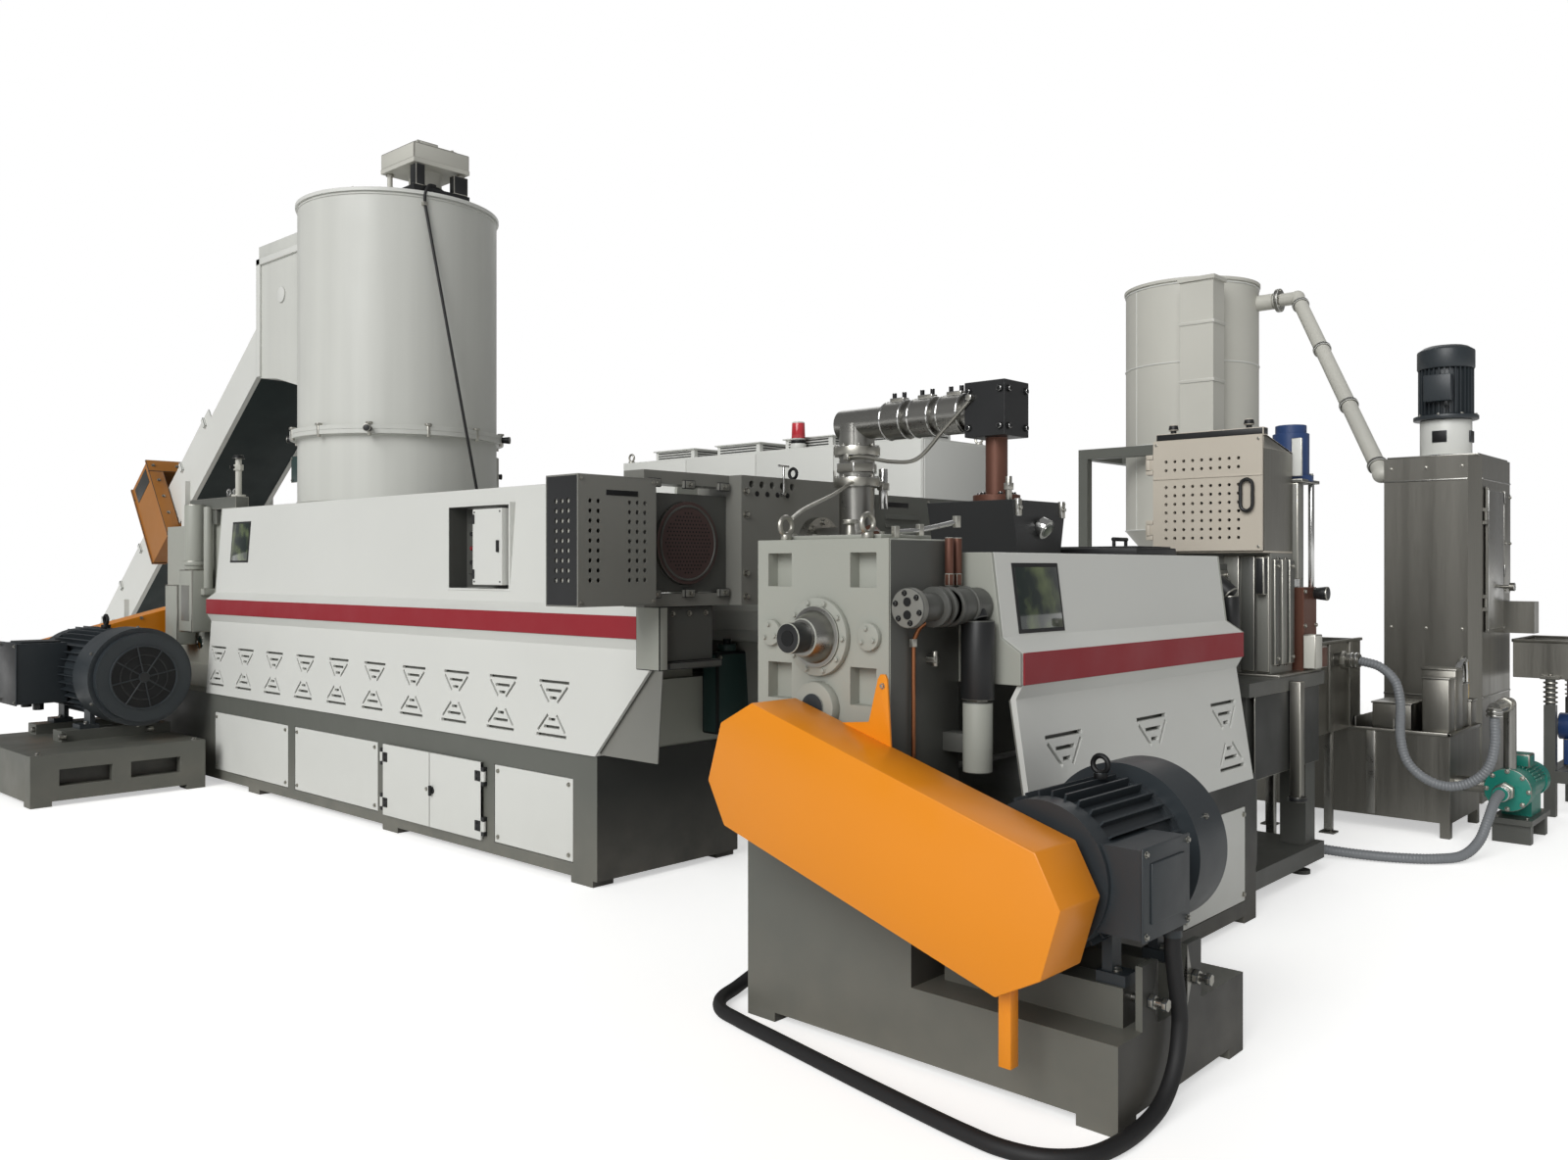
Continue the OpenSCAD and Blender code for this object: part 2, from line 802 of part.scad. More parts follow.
module first_gearbox() {
  color(pale)
    placed() {
      difference() {
        box(-gear1_half, gear1_half, covers_end + plate_t + 60, frame1_end, frame_h, gear1_top);
        for (s = [-1, 1])
          box(s * gear1_half - 30, s * gear1_half + 30, covers_end + 260, frame1_end - 180,
            frame_h + 160, frame_h + 460);
      }
      bar_y(covers_end + plate_t, covers_end + plate_t + 60, 0, axis1_z, 180);
      bar_y(frame1_end, frame1_end + 60, 0, input1_z, 150);
      bar_y(frame1_end + 60, guard1_y, 0, input1_z, 60);
      bar_y(frame1_end, frame1_end + 40, 0, axis1_z, 140);
      bar_y(frame1_end + 40, frame1_end + 110, 0, axis1_z, 70);
    }
}

// Outline of a finned motor body
module fin_ring(r, depth, n) {
  circle(r = r - depth);
  for (k = [0:n - 1])
    rotate(k * 360 / n)
      translate([r - depth - 5, -3])
        square([depth + 5, 6]);
}

// Foot motor along x: shaft end at 0, fan at len
module foot_motor(len, r, fan_r, shaft, foot, fins, cowl, feet) {
  bar_x(-shaft, 10, 0, 0, r * 0.2);
  bar_x(0, len * 0.1, 0, 0, r * 0.93);
  translate([len * 0.1, 0, 0])
    rotate([90, 0, 90])
      linear_extrude(len * (cowl - 0.14))
        fin_ring(r, r * 0.13, fins);
  bar_x(len * (cowl - 0.04), len * cowl, 0, 0, r * 0.93);
  bar_x(len * cowl, len * 0.96, 0, 0, fan_r);
  bar_x(len * 0.96, len, 0, 0, fan_r * 0.9);
  for (s = [-1, 1])
    for (x = len * feet) {
      box(x, x + len * 0.11, s * r * 0.62 - r * 0.2, s * r * 0.62 + r * 0.2, -foot, -foot + 30);
      box(x + 10, x + len * 0.11 - 10, s * r * 0.55 - 15, s * r * 0.55 + 15, -foot + 30, -r * 0.55);
    }
}

module first_motor() {
  color(slate)
    placed()
      translate([motor1_x, motor1_y, motor1_z])
        rotate([0, 0, -90]) {
          foot_motor(motor1_len, motor1_r, motor1_r + 20, guard1_y - motor1_y, motor1_z - base1_h - rail1_h, 36,
            cowl1, foot1);
          box(220, 560, -motor1_r - 240, -motor1_r * 0.8, -190, 210);
        }
}

module first_motor_base() {
  color(grey)
    placed() {
      difference() {
        box(left_x, left_x + base1_w, base1_y0, base1_y1, foot_h, base1_h);
        box(left_x + 60, left_x + base1_w - 60, base1_y0 + 60, base1_y1 - 60, foot_h - 1, base1_h - 40);
        for (x = [left_x + 160, left_x + base1_w - 460])
          box(x, x + 300, base1_y0 - 1, base1_y0 + 61, foot_h + 90, foot_h + 190);
      }
      for (x = [left_x, left_x + base1_w - 120])
        for (y = [base1_y0, base1_y1 - 120])
          box(x, x + 120, y, y + 120, 0, foot_h);
      for (k = foot1)
        translate([0, motor1_y - motor1_len * k - 150, 0])
          box(motor1_x - motor1_r - 60, motor1_x + motor1_r + 20, 0, 165, base1_h, base1_h + rail1_h);
    }
}

// Elongated octagon between two pulley centres
module guard_outline(span, r, cut) {
  polygon([
    [-r, cut - r], [-r, r - cut], [cut - r, r], [span + r - cut, r], [span + r, r - cut],
    [span + r, cut - r], [span + r - cut, -r], [cut - r, -r]
  ]);
}

module first_belt_guard() {
  run = norm([motor1_x, input1_z - motor1_z]);
  lean = atan2(input1_z - motor1_z, -motor1_x);
  color(orange)
    placed()
      along_y(guard1_y, guard1_y + guard_d)
        translate([motor1_x, motor1_z])
          rotate(lean)
            guard_outline(run, guard_r + 30, 115);
}

// Compactor
module compactor_stand() {
  color(grey)
    placed() {
      box(deck_x0, deck_x1, deck_y0, deck_y1, bowl_z - 80, bowl_z);
      for (x = [deck_x0, deck_x1 - 120])
        for (y = [deck_y0, (deck_y0 + deck_y1) / 2 - 60, deck_y1 - 120])
          box(x, x + 120, y, y + 120, 0, bowl_z - 80);
      for (y = [deck_y0 + 20, deck_y1 - 100])
        box(deck_x0 + 120, deck_x1 - 120, y, y + 80, 300, 380);
      for (x = [deck_x0 + 20, deck_x1 - 100])
        box(x, x + 80, deck_y0 + 120, deck_y1 - 120, 300, 380);
    }
}

module compactor_bowl() {
  color(white)
    placed()
      difference() {
        union() {
          bar_z(bowl_z, flange_z, drum_x, drum_y, drum_r);
          bar_z(flange_z - 30, flange_z, drum_x, drum_y, drum_r + 50);
          // Discharge collar that stands on the first cover
          box(c1_top - 275, c1_top - 25, drum_y - 220, drum_y + 220, cover1_top, bowl_z + 10);
        }
        bar_z(bowl_z + 30, flange_z + 1, drum_x, drum_y, drum_r - drum_wall);
      }
}

module compactor_drum() {
  color(white)
    placed()
      difference() {
        union() {
          bar_z(flange_z, drum_top, drum_x, drum_y, drum_r);
          bar_z(flange_z, flange_z + 30, drum_x, drum_y, drum_r + 50);
        }
        bar_z(flange_z - 1, drum_top + 1, drum_x, drum_y, drum_r - drum_wall);
        box(drum_x - hood_half + 60, drum_x + hood_half - 60, drum_y, drum_y + drum_r + 50,
          flange_z + 520, hood_top - 60);
      }
}

module compactor_lid() {
  color(white)
    placed() {
      bar_z(drum_top, drum_top + 25, drum_x, drum_y, drum_r + 15);
      box(drum_x - 300, drum_x + 300, drum_y + 40, drum_y + 480, drum_top + 25, drum_top + 60);
    }
}

unit_x = drum_x - 50;
unit_y = drum_y - 430;
unit_half = 215;
unit_z = drum_top + 25;

module lid_unit() {
  color(pale)
    placed() {
      box(unit_x - unit_half, unit_x + unit_half, unit_y - unit_half, unit_y + unit_half, unit_z, unit_z + 40);
      for (x = [-1, 1])
        for (y = [-1, 1])
          bar_z(unit_z + 40, unit_z + 190, unit_x + x * 170, unit_y + y * 170, 18);
      bar_z(unit_z + 40, unit_z + 190, unit_x, unit_y, 110);
      box(unit_x - unit_half, unit_x + unit_half, unit_y - unit_half, unit_y + unit_half, unit_z + 190, unit_z + 220);
      box(unit_x - 150, unit_x + 150, unit_y - 150, unit_y + 150, unit_z + 220, unit_z + 350);
    }
}

module compactor_motor() {
  mx = drum_x + 80;
  my = deck_y1 - 320;
  color(teal)
    placed() {
      bar_z(bowl_z, bowl_z + 60, mx, my, 250);
      bar_z(bowl_z + 60, bowl_z + 110, mx, my, 200);
      translate([mx, my, bowl_z + 110])
        linear_extrude(420)
          fin_ring(210, 26, 32);
      bar_z(bowl_z + 530, bowl_z + 700, mx, my, 215);
      box(mx - 320, mx - 180, my - 90, my + 90, bowl_z + 230, bowl_z + 420);
    }
}

// Chute from the head of the belt down into the drum, open toward the belt
module hood_side() {
  polygon([
    [drum_y, hood_top], [hood_end, hood_top], [hood_end, hood_top - hood_mouth],
    [hood_end - hood_lip, hood_top - hood_mouth - 40], [drum_y, hood_top - hood_drop]
  ]);
}

module hood_hollow() {
  polygon([
    [drum_y - 1, hood_top - hood_t], [hood_end + 1, hood_top - hood_t],
    [hood_end + 1, hood_top - hood_mouth + hood_t + 2], [hood_end - hood_lip, hood_top - hood_mouth - 26],
    [drum_y - 1, hood_top - hood_drop + hood_t + 1]
  ]);
}

module feed_hood() {
  color(white)
    placed()
      difference() {
        along_x(drum_x - hood_half, drum_x + hood_half)
          hood_side();
        along_x(drum_x - hood_half + hood_t, drum_x + hood_half - hood_t)
          hood_hollow();
        bar_z(flange_z, drum_top + 10, drum_x, drum_y, drum_r + pin_gap);
      }
}

// Inclined belt: everything in the run of the belt is drawn level and tilted about the head pulley
module tilted() {
  translate([drum_x, head_y, head_z])
    rotate([-belt_slope, 0, 0])
      children();
}

module belt_loop(r) {
  circle(r = r);
  translate([belt_len, 0])
    circle(r = r);
  translate([0, -r])
    square([belt_len, 2 * r]);
}

leg_y = [head_y + belt_len * 0.35, head_y + belt_len * 0.675];

module conveyor_frame() {
  color(white)
    placed() {
      tilted() {
        for (s = [0, 1])
          mirror([s, 0, 0]) {
            box(channel_in, channel_out, -channel_over, belt_len + channel_over, -channel_down, channel_up);
            box(channel_out - 12, channel_out, board_from, belt_len + board_over, channel_up, board_up);
          }
        for (y = [0, belt_len])
          bar_x(-channel_in, channel_in, y, 0, pulley_r - pin_gap);
        for (k = [1:4])
          box(-channel_in, channel_in, k * belt_len / 5, k * belt_len / 5 + 60, -160, -120);
      }
      for (s = [-1, 1])
        for (y = leg_y)
          translate([drum_x + s * (channel_out + 12) - 30, y - 40, 0])
            cube([60, 80, head_z - (y - head_y) * tan(belt_slope)]);
      for (y = leg_y) {
        box(drum_x - channel_out, drum_x + channel_out, y - 30, y + 30, 300, 360);
        for (s = [-1, 1])
          translate([drum_x + s * (channel_out + 12) - 70, y - 80, 0])
            cube([140, 160, 12]);
      }
    }
}

module conveyor_belt() {
  color(black)
    placed()
      tilted()
        translate([-belt_w / 2, 0, 0])
          rotate([90, 0, 90])
            linear_extrude(belt_w)
              difference() {
                belt_loop(pulley_r + belt_t);
                belt_loop(pulley_r);
              }
}

detector_s = 2230;

module metal_detector() {
  color(orange)
    placed()
      tilted()
        difference() {
          box(-channel_out - 120, channel_out + 120, detector_s, detector_s + 420, -channel_down - 120, 520);
          box(-channel_out - 12, channel_out + 12, detector_s - 1, detector_s + 421, -channel_down, 400);
        }
}

// Second frame: main box, gearbox pedestal and motor base in one weldment
module second_frame() {
  color(grey)
    placed() {
      difference() {
        union() {
          box(-stage2_drive, stage2_out, -stage2_half, stage2_half, foot_h, frame_h);
          box(pedestal_x, -stage2_drive, base2_y1, 280, foot_h, frame_h);
          box(pedestal_x, base2_x1, base2_y0, base2_y1, foot_h, base2_h);
        }
        box(-stage2_drive + frame_wall, stage2_out - frame_wall, -stage2_half + frame_wall, stage2_half - frame_wall,
          foot_h - 1, frame_h - 40);
        for (s = [-1, 1])
          box(panel2_x0, panel2_x1, s * (stage2_half - panel_t / 2) - panel_t / 2,
            s * (stage2_half - panel_t / 2) + panel_t / 2, bay_z - lap, bay_z + bay_h + lap);
      }
      for (x = [-stage2_drive, stage2_out - 120])
        for (y = [-stage2_half, stage2_half - 120])
          box(x, x + 120, y, y + 120, 0, foot_h);
      for (x = [pedestal_x, base2_x1 - 100])
        box(x, x + 100, base2_y0, base2_y0 + 120, 0, foot_h);
      box(pedestal_x, pedestal_x + 100, 160, 280, 0, foot_h);
      bar_x(-stage2_drive - 20, -stage2_drive, cable_end_y, 100, 32);
      // Slide rails under the motor and the jack posts that push it along them
      for (k = foot2) {
        x = motor2_x + motor2_len * k - 10;
        box(x, x + motor2_len * 0.11 + 20, base2_y0 + 50, base2_y1 - 30, base2_h, motor2_z - motor2_foot);
        box(x + 10, x + 100, base2_y0, base2_y0 + 20, base2_h, base2_h + 170);
        bar_y(base2_y0 - 40, base2_y0 + 70, x + 55, base2_h + 70, 12);
      }
    }
}

motor2_foot = motor2_z - base2_h - 105;

module second_gearbox() {
  gx = gearbox_x0;
  gh = gearbox_w / 2;
  gz1 = frame_h + gearbox_h;
  color(pale)
    placed() {
      difference() {
        box(gx, -stage2_drive, -gh, gh, frame_h, gz1);
        for (s = [-1, 1])
          for (z = [frame_h + 95, gz1 - 215])
            box(gx - 1, gx + 45, s * (gh - 75) - 38, s * (gh - 75) + 38, z, z + 120);
      }
      bar_x(gx - 25, gx, 0, axis2_z, 165);
      bar_x(gx - 45, gx - 25, 0, axis2_z, 120);
      difference() {
        bar_x(gx - 150, gx - 45, 0, axis2_z, 62);
        bar_x(gx - 151, gx - 60, 0, axis2_z, 32);
      }
      bar_x(gx - 30, gx, 0, input_z, 115);
      bar_x(guard2_x1, gx - 30, 0, input_z, 45);
      for (s = [-1, 1])
        bar_x(gx - 22, gx, s * (gh - 48), axis2_z + 20, 44);
      box(gx + 60, -stage2_drive - 60, -gh + 60, gh - 60, gz1, gz1 + 14);
      for (x = [gx + 90, -stage2_drive - 90])
        bar_z(gz1 + 14, gz1 + 50, x, 0, 22);
    }
}

// Oil pump with its motor and filter on the side of the second gearbox
module oil_pump() {
  py = -gearbox_w / 2 - 100;
  pz = axis2_z + 110;
  x0 = gearbox_x0 + 20;
  color(slate)
    placed() {
      bar_x(x0, x0 + 30, py, pz, 88);
      bar_x(x0 + 30, x0 + 200, py, pz, 60);
      bar_x(x0 + 200, x0 + 220, py, pz, 80);
      bar_x(x0 + 220, -stage2_drive - 4, py, pz, 68);
      box(x0 + 60, x0 + 180, py, -gearbox_w / 2, pz - 40, pz + 40);
      bar_z(pz - 330, pz - 60, x0 + 255, py, 48);
      bar_z(pz - 70, pz - 20, x0 + 255, py, 30);
    }
}

module second_belt_guard() {
  run = norm([lobe_off, input_z - lobe_z]);
  lean = atan2(input_z - lobe_z, lobe_off);
  strap_y = -350;
  color(orange)
    placed() {
      along_x(guard2_x0, guard2_x1)
        translate([-lobe_off, lobe_z])
          rotate(lean)
            guard_outline(run, guard_r, 105);
      difference() {
        box(guard2_x1 - 8, guard2_x1, strap_y - 35, strap_y + 35, input_z, axis2_z - 80);
        bar_x(guard2_x1 - 20, guard2_x1 + 20, strap_y, axis2_z - 120, 12);
      }
      box(guard2_x0 + 60, guard2_x0 + 110, -lobe_off - 45, -lobe_off + 5, 170, lobe_z - 100);
    }
}

module second_motor() {
  color(slate)
    placed()
      translate([motor2_x, -motor2_off, motor2_z]) {
        foot_motor(motor2_len, motor2_r, motor2_r + 30, motor2_x - guard2_x1, motor2_foot, 32, cowl2, foot2);
        box(15, 275, -motor2_r - 70, -motor2_r * 0.75, -123, 105);
        bar_z(-163, -123, gland_off, -motor2_r - 45, 25);
      }
}

module second_lower_covers() {
  color(white)
    placed()
      for (s = [0, 1])
        mirror([0, s, 0])
          difference() {
            along_x(cover2_from, cover2_to)
              lower_section(c2_bottom, c2_fold, c2_band, frame_h, c2_fold_z, c2_band_z, stage2_half);
            translate([0, stage2_half + 100, 0])
              rotate([90, 0, 0])
                linear_extrude(200)
                  for (i = [0:vent2_n - 1])
                    translate([vent2_first + i * vent2_step, vent2_z])
                      vent_slots(vent_w, vent_h, vent_slot);
          }
}

module second_upper_cover() {
  color(white)
    placed()
      along_x(cover2_from, cover2_to)
        upper_section(c2_band, c2_shoulder, c2_top, c2_band_z, c2_band_z + c2_band_h, c2_shoulder_z, cover2_top);
}

// Drop from the first stage into the second
melt_x = 60;
pipe_z = 2055;
riser_y = changer_near - 230;
hopper_z = cover2_top + 200;
hopper_half = 190;
drop_y = 70;

module hopper_side(inset, z0, z1) {
  polygon([
    [melt_x - hopper_half + 40 + inset, z0], [melt_x + hopper_half - 40 - inset, z0],
    [melt_x + hopper_half - inset, z1], [melt_x - hopper_half + inset, z1]
  ]);
}

module vent_hopper() {
  color(black)
    placed()
      difference() {
        along_y(drop_y - hopper_half, drop_y + hopper_half)
          hopper_side(0, cover2_top, hopper_z);
        along_y(drop_y - hopper_half + hood_t, drop_y + hopper_half - hood_t)
          hopper_side(hood_t, cover2_top - 1, hopper_z - hood_t);
        bar_z(hopper_z - 20, hopper_z + 1, melt_x, drop_y, 70);
      }
}

module melt_pipe() {
  color(steel)
    placed() {
      bar_y(riser_y - 75, changer_near, melt_x, axis1_z, 75);
      bar_z(axis1_z, pipe_z, melt_x, riser_y, 75);
      bar_y(drop_y + 90, riser_y + 75, melt_x, pipe_z, 65);
      for (k = [0:2])
        bar_y(drop_y + 130 + k * 140, drop_y + 240 + k * 140, melt_x, pipe_z, 78);
      bar_y(changer_near - 40, changer_near, melt_x, axis1_z, 120);
    }
}

module drop_pipe() {
  color([0.45, 0.27, 0.17])
    placed() {
      box(melt_x - 85, melt_x + 85, drop_y - 90, drop_y + 90, pipe_z - 105, pipe_z + 105);
      bar_z(hopper_z, pipe_z - 105, melt_x, drop_y, 42);
      bar_z(hopper_z, hopper_z + 30, melt_x, drop_y, 90);
    }
}

// Outlet of the second extruder
module die_changer() {
  color(dark)
    placed() {
      box(changer2_x0, changer2_x1, -230, 230, table_z, 1470);
      bar_x(changer2_x1, die_x1, 0, axis2_z, 160);
      box(changer2_x0 + 60, changer2_x1 - 60, 230, 330, axis2_z - 60, axis2_z + 60);
    }
}

module pelletizer_stand() {
  color(dark)
    placed() {
      box(stand_x0, stand_x1, stand_y0, stand_y1, table_z - 60, table_z);
      box(stand_x0, stand_x1, stand_y0, stand_y1, 70, 150);
      for (x = [stand_x0 + 40, stand_x1 - 160])
        for (y = [stand_y0 + 30, stand_y1 - 150])
          box(x, x + 120, y, y + 120, 150, table_z - 60);
      for (x = [stand_x0 + 90, stand_x1 - 90])
        for (y = [stand_y0 + 80, stand_y1 - 80]) {
          bar_z(0, 18, x, y, 45);
          bar_z(18, 70, x, y, 14);
        }
    }
}

module cutter_housing() {
  color(steel)
    placed() {
      box(die_x1, cutter_x1, cage_y0, cage_y1 + 60, table_z, cage_z0);
      bar_x(cutter_x1, cutter_x1 + 60, 0, axis2_z, 150);
    }
}

// Perforated cage over the cutter: three walls and a slanted top, closed by a hinged door
module cutter_cage() {
  color(beige)
    placed() {
      difference() {
        along_y(cage_y0, cage_y1)
          polygon([[cage_x0, cage_z0], [cage_x1, cage_z0], [cage_x1, cage_z1 - 60], [cage_x0 + 40, cage_z1],
            [cage_x0, cage_z1]]);
        along_y(cage_y0 + 8, cage_y1 - 8)
          polygon([[cage_x0 - 1, cage_z0 + 8], [cage_x1 - 8, cage_z0 + 8], [cage_x1 - 8, cage_z1 - 68],
            [cage_x0 + 40, cage_z1 - 8], [cage_x0 - 1, cage_z1 - 8]]);
      }
      for (z = cage_hinge_z) {
        bar_z(z - 47, z + 47, cage_hinge_x, cage_hinge_y, pin_r);
        for (s = [-1, 1])
          box(cage_hinge_x - 8, cage_x0 + 20, cage_y1, cage_hinge_y + 10, z + s * 37 - 10, z + s * 37 + 10);
      }
    }
}

cage_hinge_x = cage_x0 - door_gap - leaf_t / 2;
cage_hinge_y = cage_y1 + 24;
cage_hinge_z = [cage_z0 + 110, cage_z1 - 110];

module cage_door() {
  x1 = cage_x0 - door_gap;
  x0 = x1 - leaf_t;
  color(beige)
    placed()
      difference() {
        union() {
          box(x0, x1, cage_y0, cage_y1 - 2, cage_z0 + 10, cage_z1);
          for (z = cage_hinge_z) {
            bar_z(z - 25, z + 25, cage_hinge_x, cage_hinge_y, knuckle_r);
            box(x0 + 1, x1 - 1, cage_y1 - 40, cage_hinge_y, z - 25, z + 25);
          }
          for (z = [cage_z0 + 190, cage_z0 + 330])
            bar_x(x0 - 60, x0, cage_y0 + 150, z, 9);
          bar_z(cage_z0 + 165, cage_z0 + 355, x0 - 60, cage_y0 + 150, 11);
        }
        for (z = cage_hinge_z)
          bar_z(z - 60, z + 60, cage_hinge_x, cage_hinge_y, pin_r + pin_gap);
      }
}

// Upright cutter drive: gear head, bright guide column and motor
module cutter_drive() {
  color(blue)
    placed() {
      box(drive_x - 85, drive_x + 85, drive_y - 90, drive_y + 90, table_z, table_z + 400);
      bar_z(table_z + 400, table_z + 900, drive_x, drive_y, 42);
      bar_z(table_z + 900, table_z + 930, drive_x, drive_y, 100);
      bar_z(table_z + 930, table_z + 1130, drive_x, drive_y, 82);
      bar_z(table_z + 1130, table_z + 1170, drive_x, drive_y, 70);
      bar_x(cutter_x1 + 60, drive_x - 20, 0, axis2_z, 90);
      box(drive_x - 60, drive_x + 60, drive_y + 90, 110, axis2_z - 100, axis2_z + 100);
    }
}

// Water tank with four legs
module water_tank() {
  color(steel)
    placed() {
      difference() {
        box(tank_x, tank_x + tank_l, tank_y, tank_y + tank_w, tank_z, tank_z + tank_h);
        box(tank_x + tank_wall, tank_x + tank_l - tank_wall, tank_y + tank_wall, tank_y + tank_w - tank_wall,
          tank_z + tank_wall, tank_z + tank_h + 1);
      }
      for (x = [tank_x, tank_x + tank_l - 50])
        for (y = [tank_y, tank_y + tank_w - 50])
          box(x, x + 50, y, y + 50, 0, tank_z);
      // Suction stub toward the pump
      bar_y(pump_y + 115, tank_y, tank_x + 130, pump_z, 40);
    }
}

// Trough that brings pellets and water from the cutter to the tank
module water_trough() {
  color(steel)
    placed() {
      difference() {
        box(stand_x1, tank_x + 150, -200, 200, trough_z, trough_top);
        box(stand_x1 + 8, tank_x + 142, -192, 192, trough_z + 8, trough_top + 1);
        box(tank_x + 30, tank_x + 130, -150, 150, trough_z - 1, trough_z + 9);
      }
      bar_y(-330, -200, hose_x, trough_top - 98, 38);
    }
}

module water_pump() {
  color(teal)
    placed() {
      bar_x(pump_x - 110, pump_x - 20, pump_y, pump_z, 110);
      bar_x(pump_x - 20, pump_x + 60, pump_y, pump_z, 70);
      bar_x(pump_x + 60, pump_x + 330, pump_y, pump_z, 90);
      bar_x(pump_x + 330, pump_x + 410, pump_y, pump_z, 96);
      bar_x(hose_x + 160, pump_x - 110, pump_y, pump_z, 36);
      box(pump_x - 60, pump_x + 380, pump_y - 100, pump_y + 100, 100, 130);
      box(pump_x + 80, pump_x + 300, pump_y - 70, pump_y + 70, 130, 240);
      for (x = [pump_x - 40, pump_x + 300])
        box(x, x + 60, pump_y - 90, pump_y + 90, 0, 100);
      box(tank_x + 80, tank_x + 180, pump_y + 60, pump_y + 115, pump_z - 50, pump_z + 50);
      bar_z(pump_z, 740, pump_x - 65, pump_y, 30);
      bar_x(hose_x + 40, pump_x - 65, pump_y, 740, 30);
      bar_z(700, 740, hose_x + 50, pump_y, 34);
    }
}

// Dryer tower: a closed cabinet with one cut corner
module tower_outline(inset) {
  polygon([
    [tower_x0 + chamfer, tower_y0 + inset], [tower_x1 - inset, tower_y0 + inset],
    [tower_x1 - inset, tower_y1 - inset], [tower_x0 + inset, tower_y1 - inset],
    [tower_x0 + inset, tower_y0 + chamfer]
  ]);
}

tower_pin_x = door_x0 - lap - hinge_off;
tower_pin_y = tower_y0 - door_gap - leaf_t / 2;
tower_pin_z = [door_z0 + 150, door_z1 - 150];

module dryer_tower() {
  color(steel)
    placed() {
      difference() {
        translate([0, 0, tower_z0])
          linear_extrude(tower_h)
            tower_outline(0);
        translate([0, 0, tower_z0 + tower_wall])
          linear_extrude(tower_h - 2 * tower_wall)
            tower_outline(tower_wall);
        box(door_x0, door_x1, tower_y0 - 1, tower_y0 + 40, door_z0, door_z1);
      }
      for (x = [tower_x0 + 40, tower_x1 - 100])
        for (y = [tower_y0 + 130, tower_y1 - 100])
          box(x, x + 60, y, y + 60, 0, tower_z0);
      // Screen basket inside
      bar_z(tower_z0 + tower_wall, tower_top - tower_wall, (tower_x0 + tower_x1) / 2, (tower_y0 + tower_y1) / 2,
        basket_r);
      // Spout over the sieve
      box(sieve_x0 + 60, tower_x1 - 30, tower_y0 - 160, tower_y0, sieve_z + sieve_h + 40, sieve_z + sieve_h + 230);
      for (z = tower_pin_z) {
        bar_z(z - 47, z + 47, tower_pin_x, tower_pin_y, pin_r);
        for (s = [-1, 1])
          box(tower_pin_x - 10, tower_pin_x + 10, tower_pin_y - 8, tower_y0, z + s * 37 - 10, z + s * 37 + 10);
      }
    }
}

module tower_door() {
  y1 = tower_y0 - door_gap;
  y0 = y1 - leaf_t;
  color(steel)
    placed()
      difference() {
        union() {
          box(door_x0 - lap, door_x1 + lap, y0, y1, door_z0 - lap, door_z1 + lap);
          for (z = tower_pin_z) {
            bar_z(z - 25, z + 25, tower_pin_x, tower_pin_y, knuckle_r);
            box(tower_pin_x, door_x0 + 20, y0 + 1, y1 - 1, z - 25, z + 25);
          }
          bar_y(y0 - 45, y0, door_x1 - 40, door_z0 + 240, 10);
          bar_y(y0 - 70, y0 - 45, door_x1 - 40, door_z0 + 240, 24);
        }
        for (z = tower_pin_z)
          bar_z(z - 60, z + 60, tower_pin_x, tower_pin_y, pin_r + pin_gap);
      }
}

module tower_motor() {
  mx = (tower_x0 + tower_x1) / 2 - 40;
  my = (tower_y0 + tower_y1) / 2;
  color(slate)
    placed() {
      difference() {
        box(mx - 150, mx + 150, my - 150, my + 150, tower_top, tower_top + 240);
        box(mx - 90, mx + 90, my - 160, my + 160, tower_top + 50, tower_top + 190);
      }
      bar_z(tower_top + 240, tower_top + 265, mx, my, 175);
      translate([mx, my, tower_top + 265])
        linear_extrude(280)
          fin_ring(150, 20, 28);
      bar_z(tower_top + 545, tower_top + 680, mx, my, 155);
    }
}

// Vibrating sieve
module sieve_trough() {
  color(steel)
    placed() {
      difference() {
        box(sieve_x0, sieve_x0 + sieve_w, sieve_y0, sieve_y1, sieve_z, sieve_z + sieve_h);
        box(sieve_x0 + 6, sieve_x0 + sieve_w - 6, sieve_y0 + 6, sieve_y1 - 6, sieve_z + 110, sieve_z + sieve_h + 1);
      }
      for (y = [sieve_y0 + 150, sieve_y1 - 250])
        for (x = [sieve_x0 - 60, sieve_x0 + sieve_w])
          box(x, x + 60, y, y + 100, sieve_z, sieve_z + 20);
      bar_y(sieve_y0 + 480, sieve_y0 + 860, sieve_x0 + sieve_w / 2, sieve_z - 130, 90);
      box(sieve_x0 + 120, sieve_x0 + sieve_w - 120, sieve_y0 + 540, sieve_y0 + 800, sieve_z - 60, sieve_z);
    }
}

module sieve_base() {
  color(dark)
    placed() {
      for (y = [sieve_y0 + 150, sieve_y1 - 250])
        for (x = [sieve_x0 - 60, sieve_x0 + sieve_w]) {
          box(x, x + 60, y + 20, y + 80, 0, sieve_z - 150);
          bar_z(sieve_z - 150, sieve_z, x + 30, y + 50, 26);
        }
      for (y = [sieve_y0 + 150, sieve_y1 - 250])
        box(sieve_x0, sieve_x0 + sieve_w, y + 20, y + 80, 200, 270);
      for (x = [sieve_x0 - 60, sieve_x0 + sieve_w])
        box(x, x + 60, sieve_y0 + 230, sieve_y1 - 230, 200, 270);
    }
}

// Pellet silo on its square stand
duct_x0 = silo_x - 660;
duct_y0 = silo_y - 467;

